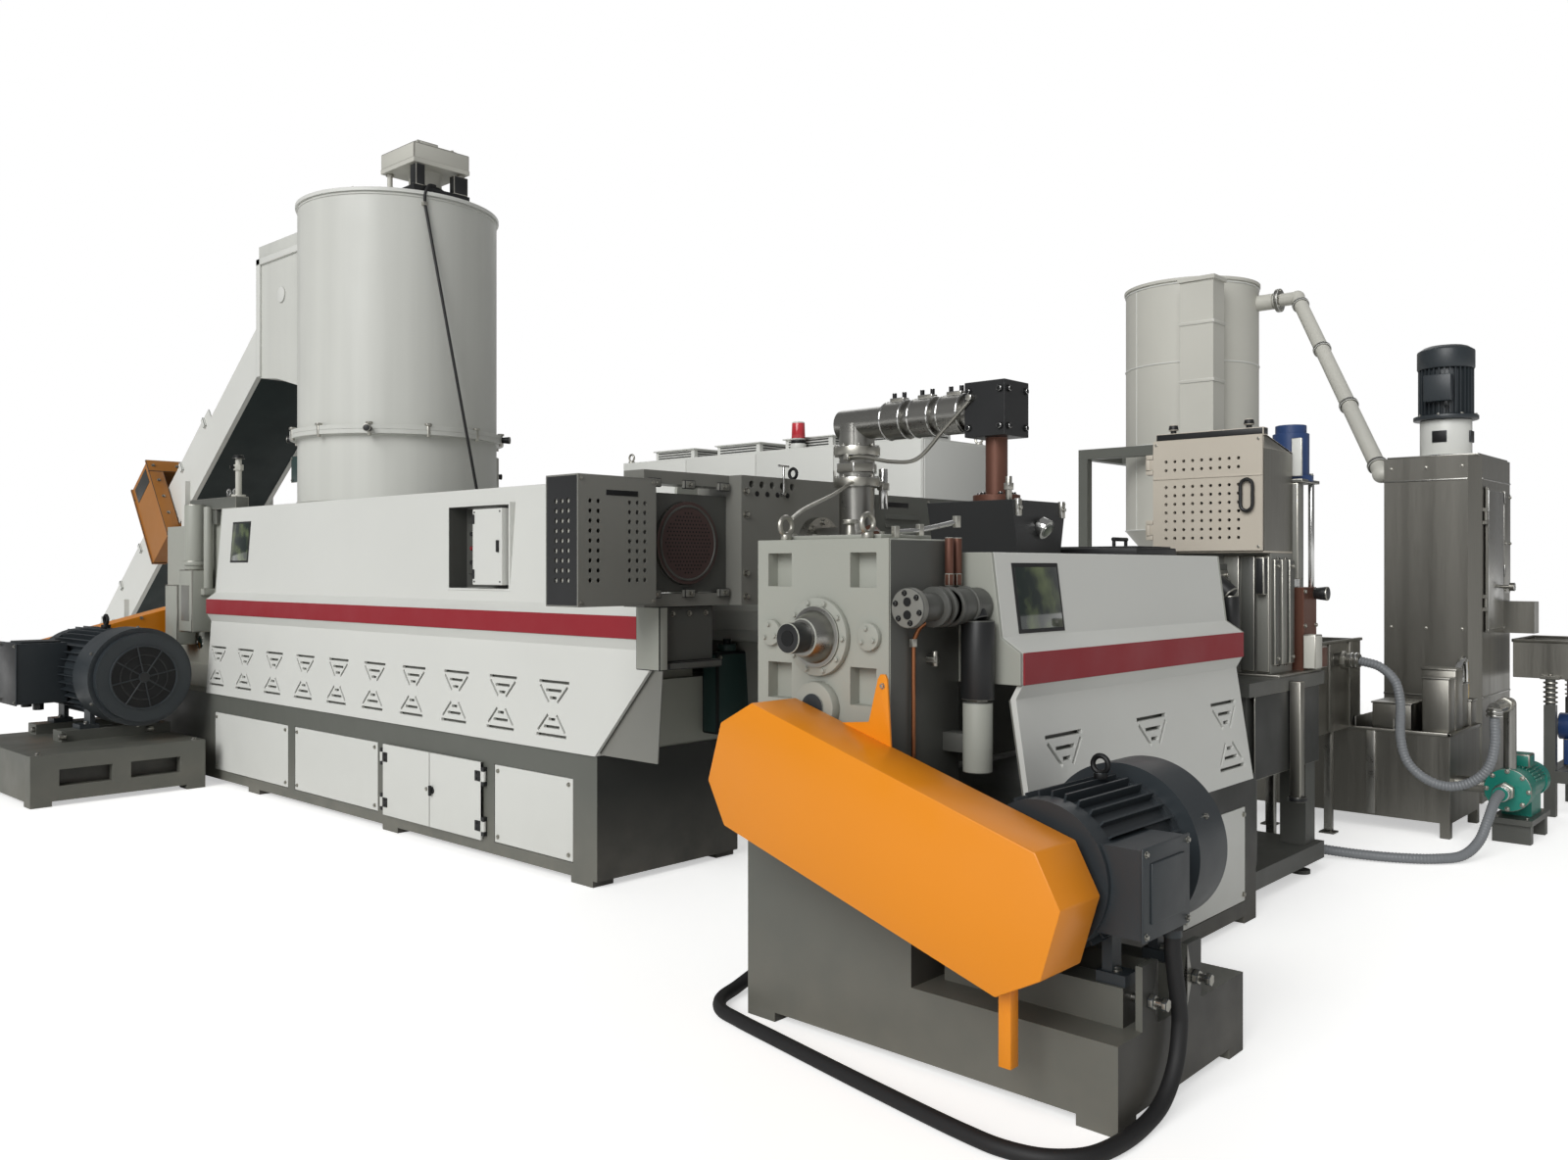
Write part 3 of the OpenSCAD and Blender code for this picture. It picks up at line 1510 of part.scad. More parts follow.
module silo_shell() {
  color(white)
    placed()
      difference() {
        union() {
          bar_z(cone_z, silo_top, silo_x, silo_y, silo_r);
          bar_y(silo_y - silo_r - 120, silo_y - silo_r + 60, silo_x + 90, silo_top - 140, 62);
          // Return air duct that stands on the frame and is held to the shell by two saddles
          box(duct_x0, duct_x0 + 200, duct_y0, duct_y0 + 262, stand_top, silo_top - 60);
          box(duct_x0 - 15, duct_x0 + 215, duct_y0 - 15, duct_y0 + 277, silo_top - 60, silo_top - 30);
          for (z = [stand_top + 200, silo_top - 400])
            translate([silo_x, silo_y, z])
              rotate([0, 0, atan2(duct_y0 + 131 - silo_y, duct_x0 + 100 - silo_x)])
                translate([silo_r - 8, -50, 0])
                  cube([130, 100, 80]);
        }
        bar_z(cone_z - 1, silo_top + 1, silo_x, silo_y, silo_r - silo_wall);
      }
}

module silo_ends() {
  color(white)
    placed() {
      bar_z(silo_top, silo_top + 25, silo_x, silo_y, silo_r + 12);
      bar_z(silo_top + 25, silo_top + 70, silo_x, silo_y, 200);
      translate([silo_x, silo_y, 0])
        rotate_extrude()
          polygon([
            [outlet_r, spout_z - 150], [outlet_r + 10, spout_z - 150], [outlet_r + 10, spout_z], [silo_r, cone_z],
            [silo_r - silo_wall, cone_z], [outlet_r, spout_z + 5]
          ]);
    }
}

module silo_stand() {
  color(grey)
    placed() {
      for (x = [-1, 1])
        for (y = [-1, 1]) {
          translate([silo_x + x * post_half - post_t / 2, silo_y + y * post_half - post_t / 2, 0])
            cube([post_t, post_t, stand_top]);
          translate([silo_x + x * post_half - post_t / 2, silo_y + y * post_half - post_t / 2, 0])
            cube([post_t, post_t, 12]);
        }
      for (s = [-1, 1])
        for (z = [600, stand_top - post_t]) {
          translate([silo_x - post_half, silo_y + s * post_half - post_t / 2, z])
            cube([2 * post_half, post_t, post_t]);
          translate([silo_x + s * post_half - post_t / 2, silo_y - post_half, z])
            cube([post_t, 2 * post_half, post_t]);
        }
      for (s = [-1, 1])
        for (k = [0, 1])
          translate([silo_x, silo_y, stand_top - post_t])
            rotate([0, 0, k * 90])
              translate([s < 0 ? -post_half : silo_r + pin_gap, -60, 0])
                cube([post_half - silo_r - pin_gap, 120, post_t]);
    }
}

// Conveying pipe from the dryer tower up to the silo
pipe_a = [(tower_x0 + tower_x1) / 2, tower_y1 + 120, tower_top - 60];
pipe_b = [silo_x + 90, silo_y - silo_r - 300, silo_top - 140];

module strut(a, b, r) {
  d = b - a;
  translate(a)
    rotate([0, acos(d[2] / norm(d)), atan2(d[1], d[0])])
      cylinder(h = norm(d), r = r);
}

module air_pipe() {
  color(steel)
    placed() {
      bar_y(tower_y1, tower_y1 + 120, pipe_a[0], pipe_a[2], 50);
      translate(pipe_a)
        sphere(r = 56);
      strut(pipe_a, pipe_b, 50);
      translate(pipe_b)
        sphere(r = 56);
      bar_y(pipe_b[1], silo_y - silo_r - 120, pipe_b[0], pipe_b[2], 50);
    }
}

module control_cabinet() {
  color(white)
    placed() {
      box(cabinet_x + 20, cabinet_x + cabinet_d - 20, cabinet_y + 20, cabinet_y + cabinet_l - 20, 0, 100);
      box(cabinet_x, cabinet_x + cabinet_d, cabinet_y, cabinet_y + cabinet_l, 100, cabinet_h);
      for (k = [0:3])
        box(cabinet_x + 120, cabinet_x + 480, cabinet_y + 150 + k * 600, cabinet_y + 530 + k * 600,
          cabinet_h, cabinet_h + 70);
    }
}

// Free cable and hoses: a ring of points carried along the route, square to the face at each end
function unit(v) = v / norm(v);

function heading(c, i, start, end) =
  i == 0 ? start : i == len(c) - 1 ? end : unit(unit(c[i + 1] - c[i]) + unit(c[i] - c[i - 1]));

function side_of(t) = abs(t[2]) > 0.9 ? unit(cross(t, [0, 1, 0])) : unit(cross(t, [0, 0, 1]));

function carried(c, i, last, start, end) =
  let (t = heading(c, i, start, end), s = unit(last - (last * t) * t))
  i == len(c) - 1 ? [s] : concat([s], carried(c, i + 1, s, start, end));

module hose(c, d, sides, start, end) {
  n = len(c);
  s = carried(c, 0, side_of(start), start, end);
  rings = [
    for (i = [0:n - 1])
      let (t = heading(c, i, start, end), v = cross(t, s[i]))
      for (j = [0:sides - 1])
        c[i] + d / 2 * (cos(j * 360 / sides) * s[i] + sin(j * 360 / sides) * v)
  ];
  walls = [
    for (i = [0:n - 2])
      for (j = [0:sides - 1])
        [i * sides + j, i * sides + (j + 1) % sides, (i + 1) * sides + (j + 1) % sides, (i + 1) * sides + j]
  ];
  first = [for (j = [0:sides - 1]) sides - 1 - j];
  last = [for (j = [0:sides - 1]) (n - 1) * sides + j];
  polyhedron(points = rings, faces = concat([first], walls, [last]));
}

module motor_cable() {
  color(black)
    placed()
      hose(cable_route, cable_d, 10, [0, 0, -1], [1, 0, 0]);
}

module upper_hose() {
  color(grey)
    placed()
      hose(upper_route, hose_d, 12, [0, -1, 0], [0, 0, 1]);
}

module lower_hose() {
  color(grey)
    placed()
      hose(lower_route, hose_d, 12, [-1, 0, 0], [-1, 0, 0]);
}

first_frame();
frame_panels();
service_door_left();
service_door_right();
door_hinges();
first_lower_covers();
first_upper_cover();
stripe_bands();
cover_end_plates();
control_niche();
barrels();
screen_changer();
slide_plate();
screen_guards();
first_gearbox();
first_motor();
first_motor_base();
first_belt_guard();
compactor_stand();
compactor_bowl();
compactor_drum();
compactor_lid();
lid_unit();
compactor_motor();
feed_hood();
conveyor_frame();
conveyor_belt();
metal_detector();
second_frame();
second_gearbox();
oil_pump();
second_belt_guard();
second_motor();
second_lower_covers();
second_upper_cover();
vent_hopper();
melt_pipe();
drop_pipe();
die_changer();
pelletizer_stand();
cutter_housing();
cutter_cage();
cage_door();
cutter_drive();
water_tank();
water_trough();
water_pump();
dryer_tower();
tower_door();
tower_motor();
sieve_trough();
sieve_base();
silo_shell();
silo_ends();
silo_stand();
air_pipe();
control_cabinet();
motor_cable();
upper_hose();
lower_hose();
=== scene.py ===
"""Finishes, fittings, cords and studio for the plastic pelletizing line.

Lengths in the fittings are millimetres from the datum, the point on the floor where the two screw axes
cross: x runs along the second screw, y runs back along the first screw, z is up.
"""

import itertools
import json
import math

import bmesh
import bpy
from bpy.props import FloatProperty, FloatVectorProperty, PointerProperty
from mathutils import Matrix, Vector


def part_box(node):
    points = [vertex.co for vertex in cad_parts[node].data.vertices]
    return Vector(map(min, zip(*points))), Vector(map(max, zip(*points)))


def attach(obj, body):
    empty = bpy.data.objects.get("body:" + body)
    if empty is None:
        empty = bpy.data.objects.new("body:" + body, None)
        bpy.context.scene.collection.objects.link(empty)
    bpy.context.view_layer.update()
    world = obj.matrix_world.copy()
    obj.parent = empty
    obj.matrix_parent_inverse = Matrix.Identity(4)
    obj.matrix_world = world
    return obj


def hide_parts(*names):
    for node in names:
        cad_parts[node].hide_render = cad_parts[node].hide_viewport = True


bl_info = {
    "name": "Pelletizing Line Dressing",
    "version": (1, 0, 0),
    "blender": (4, 5, 0),
    "location": "View3D > Sidebar > Pelletizing Line",
    "description": "Finishes, fittings, cords and studio for a plastic pelletizing line",
    "category": "Object",
}

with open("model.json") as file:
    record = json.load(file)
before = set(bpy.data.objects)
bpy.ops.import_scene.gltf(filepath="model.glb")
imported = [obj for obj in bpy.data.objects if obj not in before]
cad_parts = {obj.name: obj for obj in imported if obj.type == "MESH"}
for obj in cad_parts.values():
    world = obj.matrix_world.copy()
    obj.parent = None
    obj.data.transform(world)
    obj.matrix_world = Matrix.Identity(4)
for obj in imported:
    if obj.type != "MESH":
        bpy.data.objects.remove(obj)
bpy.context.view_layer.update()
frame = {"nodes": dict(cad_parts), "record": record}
NODES = frame["nodes"]

# The first frame is centred on the first screw, and the second gearbox on the second screw
FIRST_LOW, FIRST_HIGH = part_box("first_frame")
GEAR_LOW, GEAR_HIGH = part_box("second_gearbox")
DATUM = Vector(((FIRST_LOW.x + FIRST_HIGH.x) / 2, (GEAR_LOW.y + GEAR_HIGH.y) / 2, 0))

FINISH = {}
X, Y, Z = Vector((1, 0, 0)), Vector((0, 1, 0)), Vector((0, 0, 1))
# Angle in radians from which an edge counts as sharp
SHARP = 0.6


def linear(hex_colour):
    """An sRGB hex colour as linear red, green and blue."""
    channels = [int(hex_colour[i : i + 2], 16) / 255 for i in (1, 3, 5)]
    return [c / 12.92 if c <= 0.04045 else ((c + 0.055) / 1.055) ** 2.4 for c in channels]


def at(x, y, z):
    """A point in millimetres from the datum, in the row frame in metres."""
    return DATUM + Vector((x, y, z)) / 1000


def spaced(first, last, count):
    """Evenly spaced numbers from first to last."""
    return [first + (last - first) * i / (count - 1) for i in range(count)]


def through(points, per_leg):
    """A smooth line through the points, as a centripetal spline."""
    ends = [2 * points[0] - points[1], *points, 2 * points[-1] - points[-2]]
    line = []
    for a, b, c, d in zip(ends, ends[1:], ends[2:], ends[3:]):
        t1 = (b - a).length ** 0.5
        t2 = t1 + (c - b).length ** 0.5
        t3 = t2 + (d - c).length ** 0.5
        for i in range(per_leg):
            t = t1 + (t2 - t1) * i / per_leg
            p = a * (t1 - t) / t1 + b * t / t1
            q = b * (t2 - t) / (t2 - t1) + c * (t - t1) / (t2 - t1)
            r = c * (t3 - t) / (t3 - t2) + d * (t - t2) / (t3 - t2)
            s = p * (t2 - t) / t2 + q * t / t2
            u = q * (t3 - t) / (t3 - t1) + r * (t - t1) / (t3 - t1)
            line.append(s * (t2 - t) / (t2 - t1) + u * (t - t1) / (t2 - t1))
    return [*line, points[-1].copy()]


def leaning(origin, lean, along, up):
    """A spot on a slope from its origin, by the distances along the slope and square to it."""
    a, b = origin
    return a + along * math.cos(lean) - up * math.sin(lean), b + along * math.sin(lean) + up * math.cos(lean)


def cells(columns, rows):
    """The cells of a sheet where these columns and rows meet."""
    return set(itertools.product(columns, rows))


class Fitting:
    """One mesh of the dressing, drawn in millimetres from the datum from bevelled solids."""

    def __init__(self, name, finish):
        self.name = name
        self.mesh = bmesh.new()
        self.finishes = [finish]
        self.index = 0

    def use(self, finish):
        """The solids that follow take this finish."""
        if finish not in self.finishes:
            self.finishes.append(finish)
        self.index = self.finishes.index(finish)
        return self

    def settle(self, verts, edge):
        """Gives new solids the current finish and breaks their sharp edges."""
        # A dict keeps the order in which it meets the faces and edges
        faces = dict.fromkeys(f for v in verts for f in v.link_faces)
        for face in faces:
            face.material_index = self.index
        if edge:
            edges = dict.fromkeys(e for f in faces for e in f.edges)
            sharp = [e for e in edges if len(e.link_faces) == 2 and e.calc_face_angle() > SHARP]
            shape = {"segments": 2, "profile": 0.5, "affect": "EDGES", "clamp_overlap": True}
            bmesh.ops.bevel(self.mesh, geom=sharp, offset=edge, **shape)
        return self

    def box(self, x0, x1, y0, y1, z0, z1, edge=2):
        """A block between two corners, which may come in either order."""
        verts = bmesh.ops.create_cube(self.mesh, size=1)["verts"]
        sides = ((x0, x1), (y0, y1), (z0, z1))
        low = Vector([min(side) for side in sides])
        size = Vector([abs(b - a) for a, b in sides])
        for v in verts:
            v.co = low + Vector((v.co.x + 0.5, v.co.y + 0.5, v.co.z + 0.5)) * size
        return self.settle(verts, edge)

    def rod(self, start, end, radius, end_radius=None, sides=28, edge=1.0):
        """A round bar, cone or, with few sides, a prism."""
        start, end = Vector(start), Vector(end)
        axis = end - start
        turn = Matrix.Translation((start + end) / 2) @ axis.to_track_quat("Z", "Y").to_matrix().to_4x4()
        top = radius if end_radius is None else end_radius
        shape = {"segments": sides, "radius1": radius, "radius2": top, "depth": axis.length}
        cone = bmesh.ops.create_cone(self.mesh, cap_ends=True, matrix=turn, **shape)
        return self.settle(cone["verts"], edge)

    def bar_x(self, x0, x1, y, z, radius, end_radius=None, **shape):
        """A round bar along x."""
        return self.rod((x0, y, z), (x1, y, z), radius, end_radius, **shape)

    def bar_y(self, y0, y1, x, z, radius, end_radius=None, **shape):
        """A round bar along y."""
        return self.rod((x, y0, z), (x, y1, z), radius, end_radius, **shape)

    def bar_z(self, z0, z1, x, y, radius, end_radius=None, **shape):
        """An upright round bar."""
        return self.rod((x, y, z0), (x, y, z1), radius, end_radius, **shape)

    def bolt(self, point, normal, size=10):
        """A hexagon head on a washer."""
        point, normal = Vector(point), Vector(normal)
        self.rod(point - normal, point + normal * size * 0.25, size * 1.25, sides=16, edge=0)
        return self.rod(point + normal * size * 0.25, point + normal * size, size, sides=6, edge=size * 0.12)

    def bolts(self, xs, ys, zs, normal, size):
        """Bolts wherever the places along x, y and z meet. Each is a number or a tuple of them."""
        rows = [places if isinstance(places, tuple) else (places,) for places in (xs, ys, zs)]
        for point in itertools.product(*rows):
            self.bolt(point, normal, size)
        return self

    def bolt_circle(self, centre, normal, radius, count, size=10, start=0.0):
        """Bolts around a flange."""
        normal = Vector(normal)
        side = normal.orthogonal().normalized()
        for i in range(count):
            turn = Matrix.Rotation(start + 2 * math.pi * i / count, 3, normal)
            self.bolt(Vector(centre) + turn @ side * radius, normal, size)
        return self

    def prism(self, outline, along, low, high, edge=2):
        """An outline in the two other axes, drawn out along x, y or z."""
        place = {
            "x": lambda a, b, t: (t, a, b),
            "y": lambda a, b, t: (a, t, b),
            "z": lambda a, b, t: (a, b, t),
        }[along]
        near = [self.mesh.verts.new(place(a, b, low)) for a, b in outline]
        far = [self.mesh.verts.new(place(a, b, high)) for a, b in outline]
        faces = [self.mesh.faces.new(near), self.mesh.faces.new(far[::-1])]
        for i in range(len(near)):
            j = (i + 1) % len(near)
            faces.append(self.mesh.faces.new((near[j], near[i], far[i], far[j])))
        bmesh.ops.recalc_face_normals(self.mesh, faces=faces)
        return self.settle(near + far, edge)

    def sweep(self, line, radius, sides=12):
        """A closed tube along a line. The radius may be a function of the distance from its start."""
        size = radius if callable(radius) else lambda distance: radius
        rings, distance, side = [], 0.0, None
        for i, point in enumerate(line):
            ahead = line[min(i + 1, len(line) - 1)] - line[max(i - 1, 0)]
            heading = ahead.normalized()
            side = heading.orthogonal() if side is None else side - heading * side.dot(heading)
            side.normalize()
            up = heading.cross(side)
            if i:
                distance += (point - line[i - 1]).length
            turns = [2 * math.pi * k / sides for k in range(sides)]
            spots = [point + (side * math.cos(a) + up * math.sin(a)) * size(distance) for a in turns]
            rings.append([self.mesh.verts.new(spot) for spot in spots])
        for near, far in zip(rings, rings[1:]):
            for k in range(sides):
                j = (k + 1) % sides
                self.mesh.faces.new((near[k], near[j], far[j], far[k]))
        self.mesh.faces.new(rings[0][::-1])
        self.mesh.faces.new(rings[-1])
        return self.settle([v for ring in rings for v in ring], 0)

    def wire(self, points, radius, sides=10, per_leg=6):
        """A smooth tube through a few points."""
        return self.sweep(through([Vector(p) for p in points], per_leg), radius, sides)

    def ring(self, centre, normal, radius, wire, steps=28, sides=8):
        """A round ring, for eyes, rims and grilles."""
        centre, normal = Vector(centre), Vector(normal).normalized()
        side = normal.orthogonal().normalized()
        turns = [2 * math.pi * k / sides for k in range(sides)]
        loops = []
        for i in range(steps):
            out = Matrix.Rotation(2 * math.pi * i / steps, 3, normal) @ side
            middle = centre + out * radius
            spots = [middle + (out * math.cos(a) + normal * math.sin(a)) * wire for a in turns]
            loops.append([self.mesh.verts.new(spot) for spot in spots])
        for near, far in zip(loops, loops[1:] + loops[:1]):
            for k in range(sides):
                j = (k + 1) % sides
                self.mesh.faces.new((near[j], near[k], far[k], far[j]))
        return self.settle([v for loop in loops for v in loop], 0)

    def spider(self, centre, across, up, radius, wire, sides=10, start=0.0):
        """Four bars that cross in the middle of a fan grille."""
        centre = Vector(centre)
        for k in range(4):
            a = math.pi * k / 4 + start
            arm = (across * math.cos(a) + up * math.sin(a)) * radius
            self.rod(centre - arm, centre + arm, wire, sides=sides)
        return self

    def sheet(self, corner, across, up, columns, rows, thickness, hole, holed=()):
        """A plate of cells. Those that are holed get an eight-sided hole of this radius."""
        corner, across, up = Vector(corner), Vector(across) / columns, Vector(up) / rows
        back = across.cross(up).normalized() * -thickness
        posts = {}

        def pair(place):
            return self.mesh.verts.new(place), self.mesh.verts.new(place + back)

        def post(i, j):
            if (i, j) not in posts:
                posts[i, j] = pair(corner + across * i / 2 + up * j / 2)
            return posts[i, j]

        def join(ring, inner):
            for k in range(len(ring)):
                m = (k + 1) % len(ring)
                for side, order in ((0, 1), (1, -1)):
                    corners = (ring[k][side], ring[m][side], inner[m][side], inner[k][side])
                    self.mesh.faces.new(corners[::order])
                self.mesh.faces.new((inner[k][0], inner[m][0], inner[m][1], inner[k][1]))

        steps = ((-1, -1), (0, -1), (1, -1), (1, 0), (1, 1), (0, 1), (-1, 1), (-1, 0))
        made = []
        for i in range(columns):
            for j in range(rows):
                rim = [post(2 * i + 1 + a, 2 * j + 1 + b) for a, b in steps]
                if (i, j) in holed:
                    middle = corner + across * (i + 0.5) + up * (j + 0.5)
                    wide, high = across.normalized(), up.normalized()
                    eye = [pair(middle + (wide * a + high * b).normalized() * hole) for a, b in steps]
                    join(rim, eye)
                    made += eye
                else:
                    self.mesh.faces.new([p[0] for p in rim])
                    self.mesh.faces.new([p[1] for p in rim][::-1])
        edge = [(i, 0) for i in range(2 * columns)] + [(2 * columns, j) for j in range(2 * rows)]
        edge += [(i, 2 * rows) for i in range(2 * columns, 0, -1)] + [(0, j) for j in range(2 * rows, 0, -1)]
        for a, b in zip(edge, edge[1:] + edge[:1]):
            self.mesh.faces.new((posts[b][0], posts[a][0], posts[a][1], posts[b][1]))
        return self.settle([v for p in [*posts.values(), *made] for v in p], 0)

    def made(self, body="line", slot=None, replaces=(), turn=Matrix()):
        """Turns the solids into an object that rides on a body."""
        self.mesh.transform(Matrix.Translation(DATUM) @ Matrix.Scale(0.001, 4) @ turn)
        for edge in self.mesh.edges:
            edge.smooth = len(edge.link_faces) < 2 or edge.calc_face_angle() < SHARP
        for face in self.mesh.faces:
            face.smooth = True
        data = bpy.data.meshes.new(self.name)
        self.mesh.to_mesh(data)
        self.mesh.free()
        for finish in self.finishes:
            data.materials.append(FINISH[finish])
        piece = bpy.data.objects.new(self.name, data)
        bpy.context.scene.collection.objects.link(piece)
        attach(piece, body)
        if replaces:
            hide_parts(*replaces)
        return piece


# Finishes


def add(tree, kind, inputs=None, **settings):
    """Adds a node with its settings. An input that is a socket is linked, any other is set."""
    node = tree.nodes.new("ShaderNode" + kind)
    for key, value in settings.items():
        setattr(node, key, value)
    for key, value in (inputs or {}).items():
        if isinstance(value, bpy.types.NodeSocket):
            tree.links.new(value, node.inputs[key])
        else:
            node.inputs[key].default_value = value
    return node


def new_finish(key, name):
    """An empty material, its node tree and the place of its surfaces in metres."""
    material = bpy.data.materials.new(name)
    material.use_nodes = True
    tree = material.node_tree
    tree.nodes.clear()
    FINISH[key] = material
    return tree, add(tree, "TexCoord").outputs["Object"]


def per_mm(size):
    """Noise scale for a pattern of this size in millimetres."""
    return 1000 / size


# Sizes in millimetres of the patterns in the finishes
DRIFT, PATCH, SMEAR, WIPE, BLOOM = 900, 220, 160, 90, 110
# The darker tone of a paint, as a share of its colour
SHADE = 0.72
# Colour of the dust, and the heights in metres between which it thins out
DUST, DUST_LOW, DUST_HIGH = linear("#8F897D"), 0.02, 0.45


def painted(
    key, name, colour, roughness=0.42, grain=5, depth=0.04, tone=0.10, soil=0.0, metallic=0.0, lay=(1, 1, 1)
):
    """Paint on steel: a tone that drifts and may run one way, patchy gloss, grain, dust near the floor."""
    tree, place = new_finish(key, name)
    base = (*colour[:3], 1)
    shade = (*[c * SHADE for c in colour[:3]], 1)
    run = add(tree, "Mapping", {"Vector": place, "Scale": lay}).outputs["Vector"]
    drift = add(tree, "TexNoise", {"Vector": run, "Scale": per_mm(DRIFT), "Detail": 5.0}).outputs["Fac"]
    span = {"Value": drift, "From Min": 0.35, "From Max": 0.75, "To Max": tone * 3}
    share = add(tree, "MapRange", span).outputs["Result"]
    toned = add(tree, "Mix", {"Factor": share, "A": base, "B": shade}, data_type="RGBA")
    surface = toned.outputs["Result"]
    if soil:
        height = add(tree, "SeparateXYZ", {"Vector": place}).outputs["Z"]
        span = {"From Min": DUST_LOW, "From Max": DUST_HIGH, "To Min": soil, "To Max": 0.0}
        low = add(tree, "MapRange", {"Value": height, **span}).outputs["Result"]
        smear = add(tree, "TexNoise", {"Vector": place, "Scale": per_mm(SMEAR), "Detail": 7.0}).outputs["Fac"]
        dust = add(tree, "Math", {0: low, 1: smear}, operation="MULTIPLY").outputs["Value"]
        coats = {"Factor": dust, "A": surface, "B": (*DUST, 1)}
        surface = add(tree, "Mix", coats, data_type="RGBA").outputs["Result"]
    patches = add(tree, "TexNoise", {"Vector": place, "Scale": per_mm(PATCH), "Detail": 4.0}).outputs["Fac"]
    span = {"From Min": 0.3, "From Max": 0.7, "To Min": roughness - 0.07, "To Max": roughness + 0.09}
    gloss = add(tree, "MapRange", {"Value": patches, **span}).outputs["Result"]
    coat = add(tree, "TexNoise", {"Vector": place, "Scale": per_mm(grain), "Detail": 2.0}).outputs["Fac"]
    bump = add(tree, "Bump", {"Height": coat, "Strength": depth, "Distance": 0.002}).outputs["Normal"]
    look = {"Base Color": surface, "Roughness": gloss, "Metallic": metallic, "Normal": bump}
    shader = add(tree, "BsdfPrincipled", look)
    add(tree, "OutputMaterial", {"Surface": shader.outputs["BSDF"]})


def brushed(key, name, colour, roughness=0.34, along=(1, 1, 0.02), line=4, tone=0.25):
    """Brushed metal: fine lines in one direction and broad smears from wiping."""
    tree, place = new_finish(key, name)
    lay = add(tree, "Mapping", {"Vector": place, "Scale": along}).outputs["Vector"]
    lines = add(tree, "TexNoise", {"Vector": lay, "Scale": per_mm(line), "Detail": 3.0}).outputs["Fac"]
    smears = add(tree, "TexNoise", {"Vector": lay, "Scale": per_mm(WIPE), "Detail": 5.0}).outputs["Fac"]
    both = add(tree, "Mix", {"Factor": 0.55, "A": lines, "B": smears}, data_type="FLOAT").outputs["Result"]
    bright, dull = (*colour[:3], 1), (*[c * (1 - tone) for c in colour[:3]], 1)
    toned = add(tree, "Mix", {"Factor": both, "A": bright, "B": dull}, data_type="RGBA").outputs["Result"]
    span = {"From Min": 0.3, "From Max": 0.7, "To Min": roughness - 0.08, "To Max": roughness + 0.12}
    gloss = add(tree, "MapRange", {"Value": both, **span}).outputs["Result"]
    bump = add(tree, "Bump", {"Height": lines, "Strength": 0.06, "Distance": 0.001}).outputs["Normal"]
    look = {"Base Color": toned, "Roughness": gloss, "Metallic": 1.0, "Normal": bump}
    shader = add(tree, "BsdfPrincipled", look)
    add(tree, "OutputMaterial", {"Surface": shader.outputs["BSDF"]})


def tinted(key, name, colour, glow, roughness=0.08):
    """Clear plastic over a dark inside: deep colour with soft lighter blooms and a sharp gloss."""
    tree, place = new_finish(key, name)
    blooms = add(tree, "TexNoise", {"Vector": place, "Scale": per_mm(BLOOM), "Detail": 2.0}).outputs["Fac"]
    span = {"Value": blooms, "From Min": 0.45, "From Max": 0.75, "To Max": 0.7}
    share = add(tree, "MapRange", span).outputs["Result"]
    deep, light = (*colour[:3], 1), (*glow[:3], 1)
    toned = add(tree, "Mix", {"Factor": share, "A": deep, "B": light}, data_type="RGBA").outputs["Result"]
    look = {"Base Color": toned, "Roughness": roughness, "IOR": 1.49, "Coat Weight": 0.4}
    shader = add(tree, "BsdfPrincipled", look)
    add(tree, "OutputMaterial", {"Surface": shader.outputs["BSDF"]})


def swatch(name, description, colour):
    """A colour that a user may change."""
    return FloatVectorProperty(
        name=name, description=description, subtype="COLOR", size=3, default=linear(colour)
    )


class LineFinishes(bpy.types.PropertyGroup):
    """Colours of the line."""

    cover: swatch("Covers", "Powder coat of the covers", "#D3D4CF")
    frame: swatch("Frames", "Enamel of the frames", "#5F615B")
    casting: swatch("Castings", "Enamel of the gearboxes", "#A2A49B")
    stripe: swatch("Stripes", "Stripe on the covers", "#8E1422")
    guard: swatch("Guards", "Enamel of the belt guards", "#E98E16")
    motor: swatch("Motors", "Enamel of the main motors", "#2E3438")
    stainless: swatch("Stainless", "Sheet of the wet parts", "#93918A")


class LineSizes(bpy.types.PropertyGroup):
    """Sizes of the dressing."""

    edge: FloatProperty(
        name="Broken edge",
        description="Width of the rounding on sheet edges",
        unit="LENGTH",
        default=0.003,
        min=0,
    )
    hose_pitch: FloatProperty(
        name="Hose pitch",
        description="Distance between the ribs of the hoses",
        unit="LENGTH",
        default=0.016,
        min=0.01,
    )


class LineStudio(bpy.types.PropertyGroup):
    """Camera and lamps."""

    lens: FloatProperty(name="Lens", description="Focal length", unit="CAMERA", default=28.125, min=10)
    key: FloatProperty(name="Key lamp", description="Strength of the key lamp", default=2.25, min=0)
    back: FloatProperty(name="Back lamp", description="Strength of the back lamp", default=0.45, min=0)
    sky: FloatProperty(name="Sky", description="Strength of the even light", default=0.24, min=0)


# Nodes whose coat differs from the common one of their slot
COATS = {
    "screen_changer": "block_paint",
    "lid_unit": "pale_paint",
    "compactor_motor": "green_paint",
    "compactor_bowl": "drum_paint",
    "compactor_drum": "drum_paint",
    "conveyor_belt": "belt_sheet",
    "metal_detector": "detector_paint",
    # The air pipe is bright metal; its pale paint is a painted reflection of the bright surroundings
    "air_pipe": "pale_paint",
    "feed_hood": "drum_paint",
    "silo_shell": "pale_paint",
    "silo_ends": "pale_paint",
    "cutter_housing": "block_paint",
}


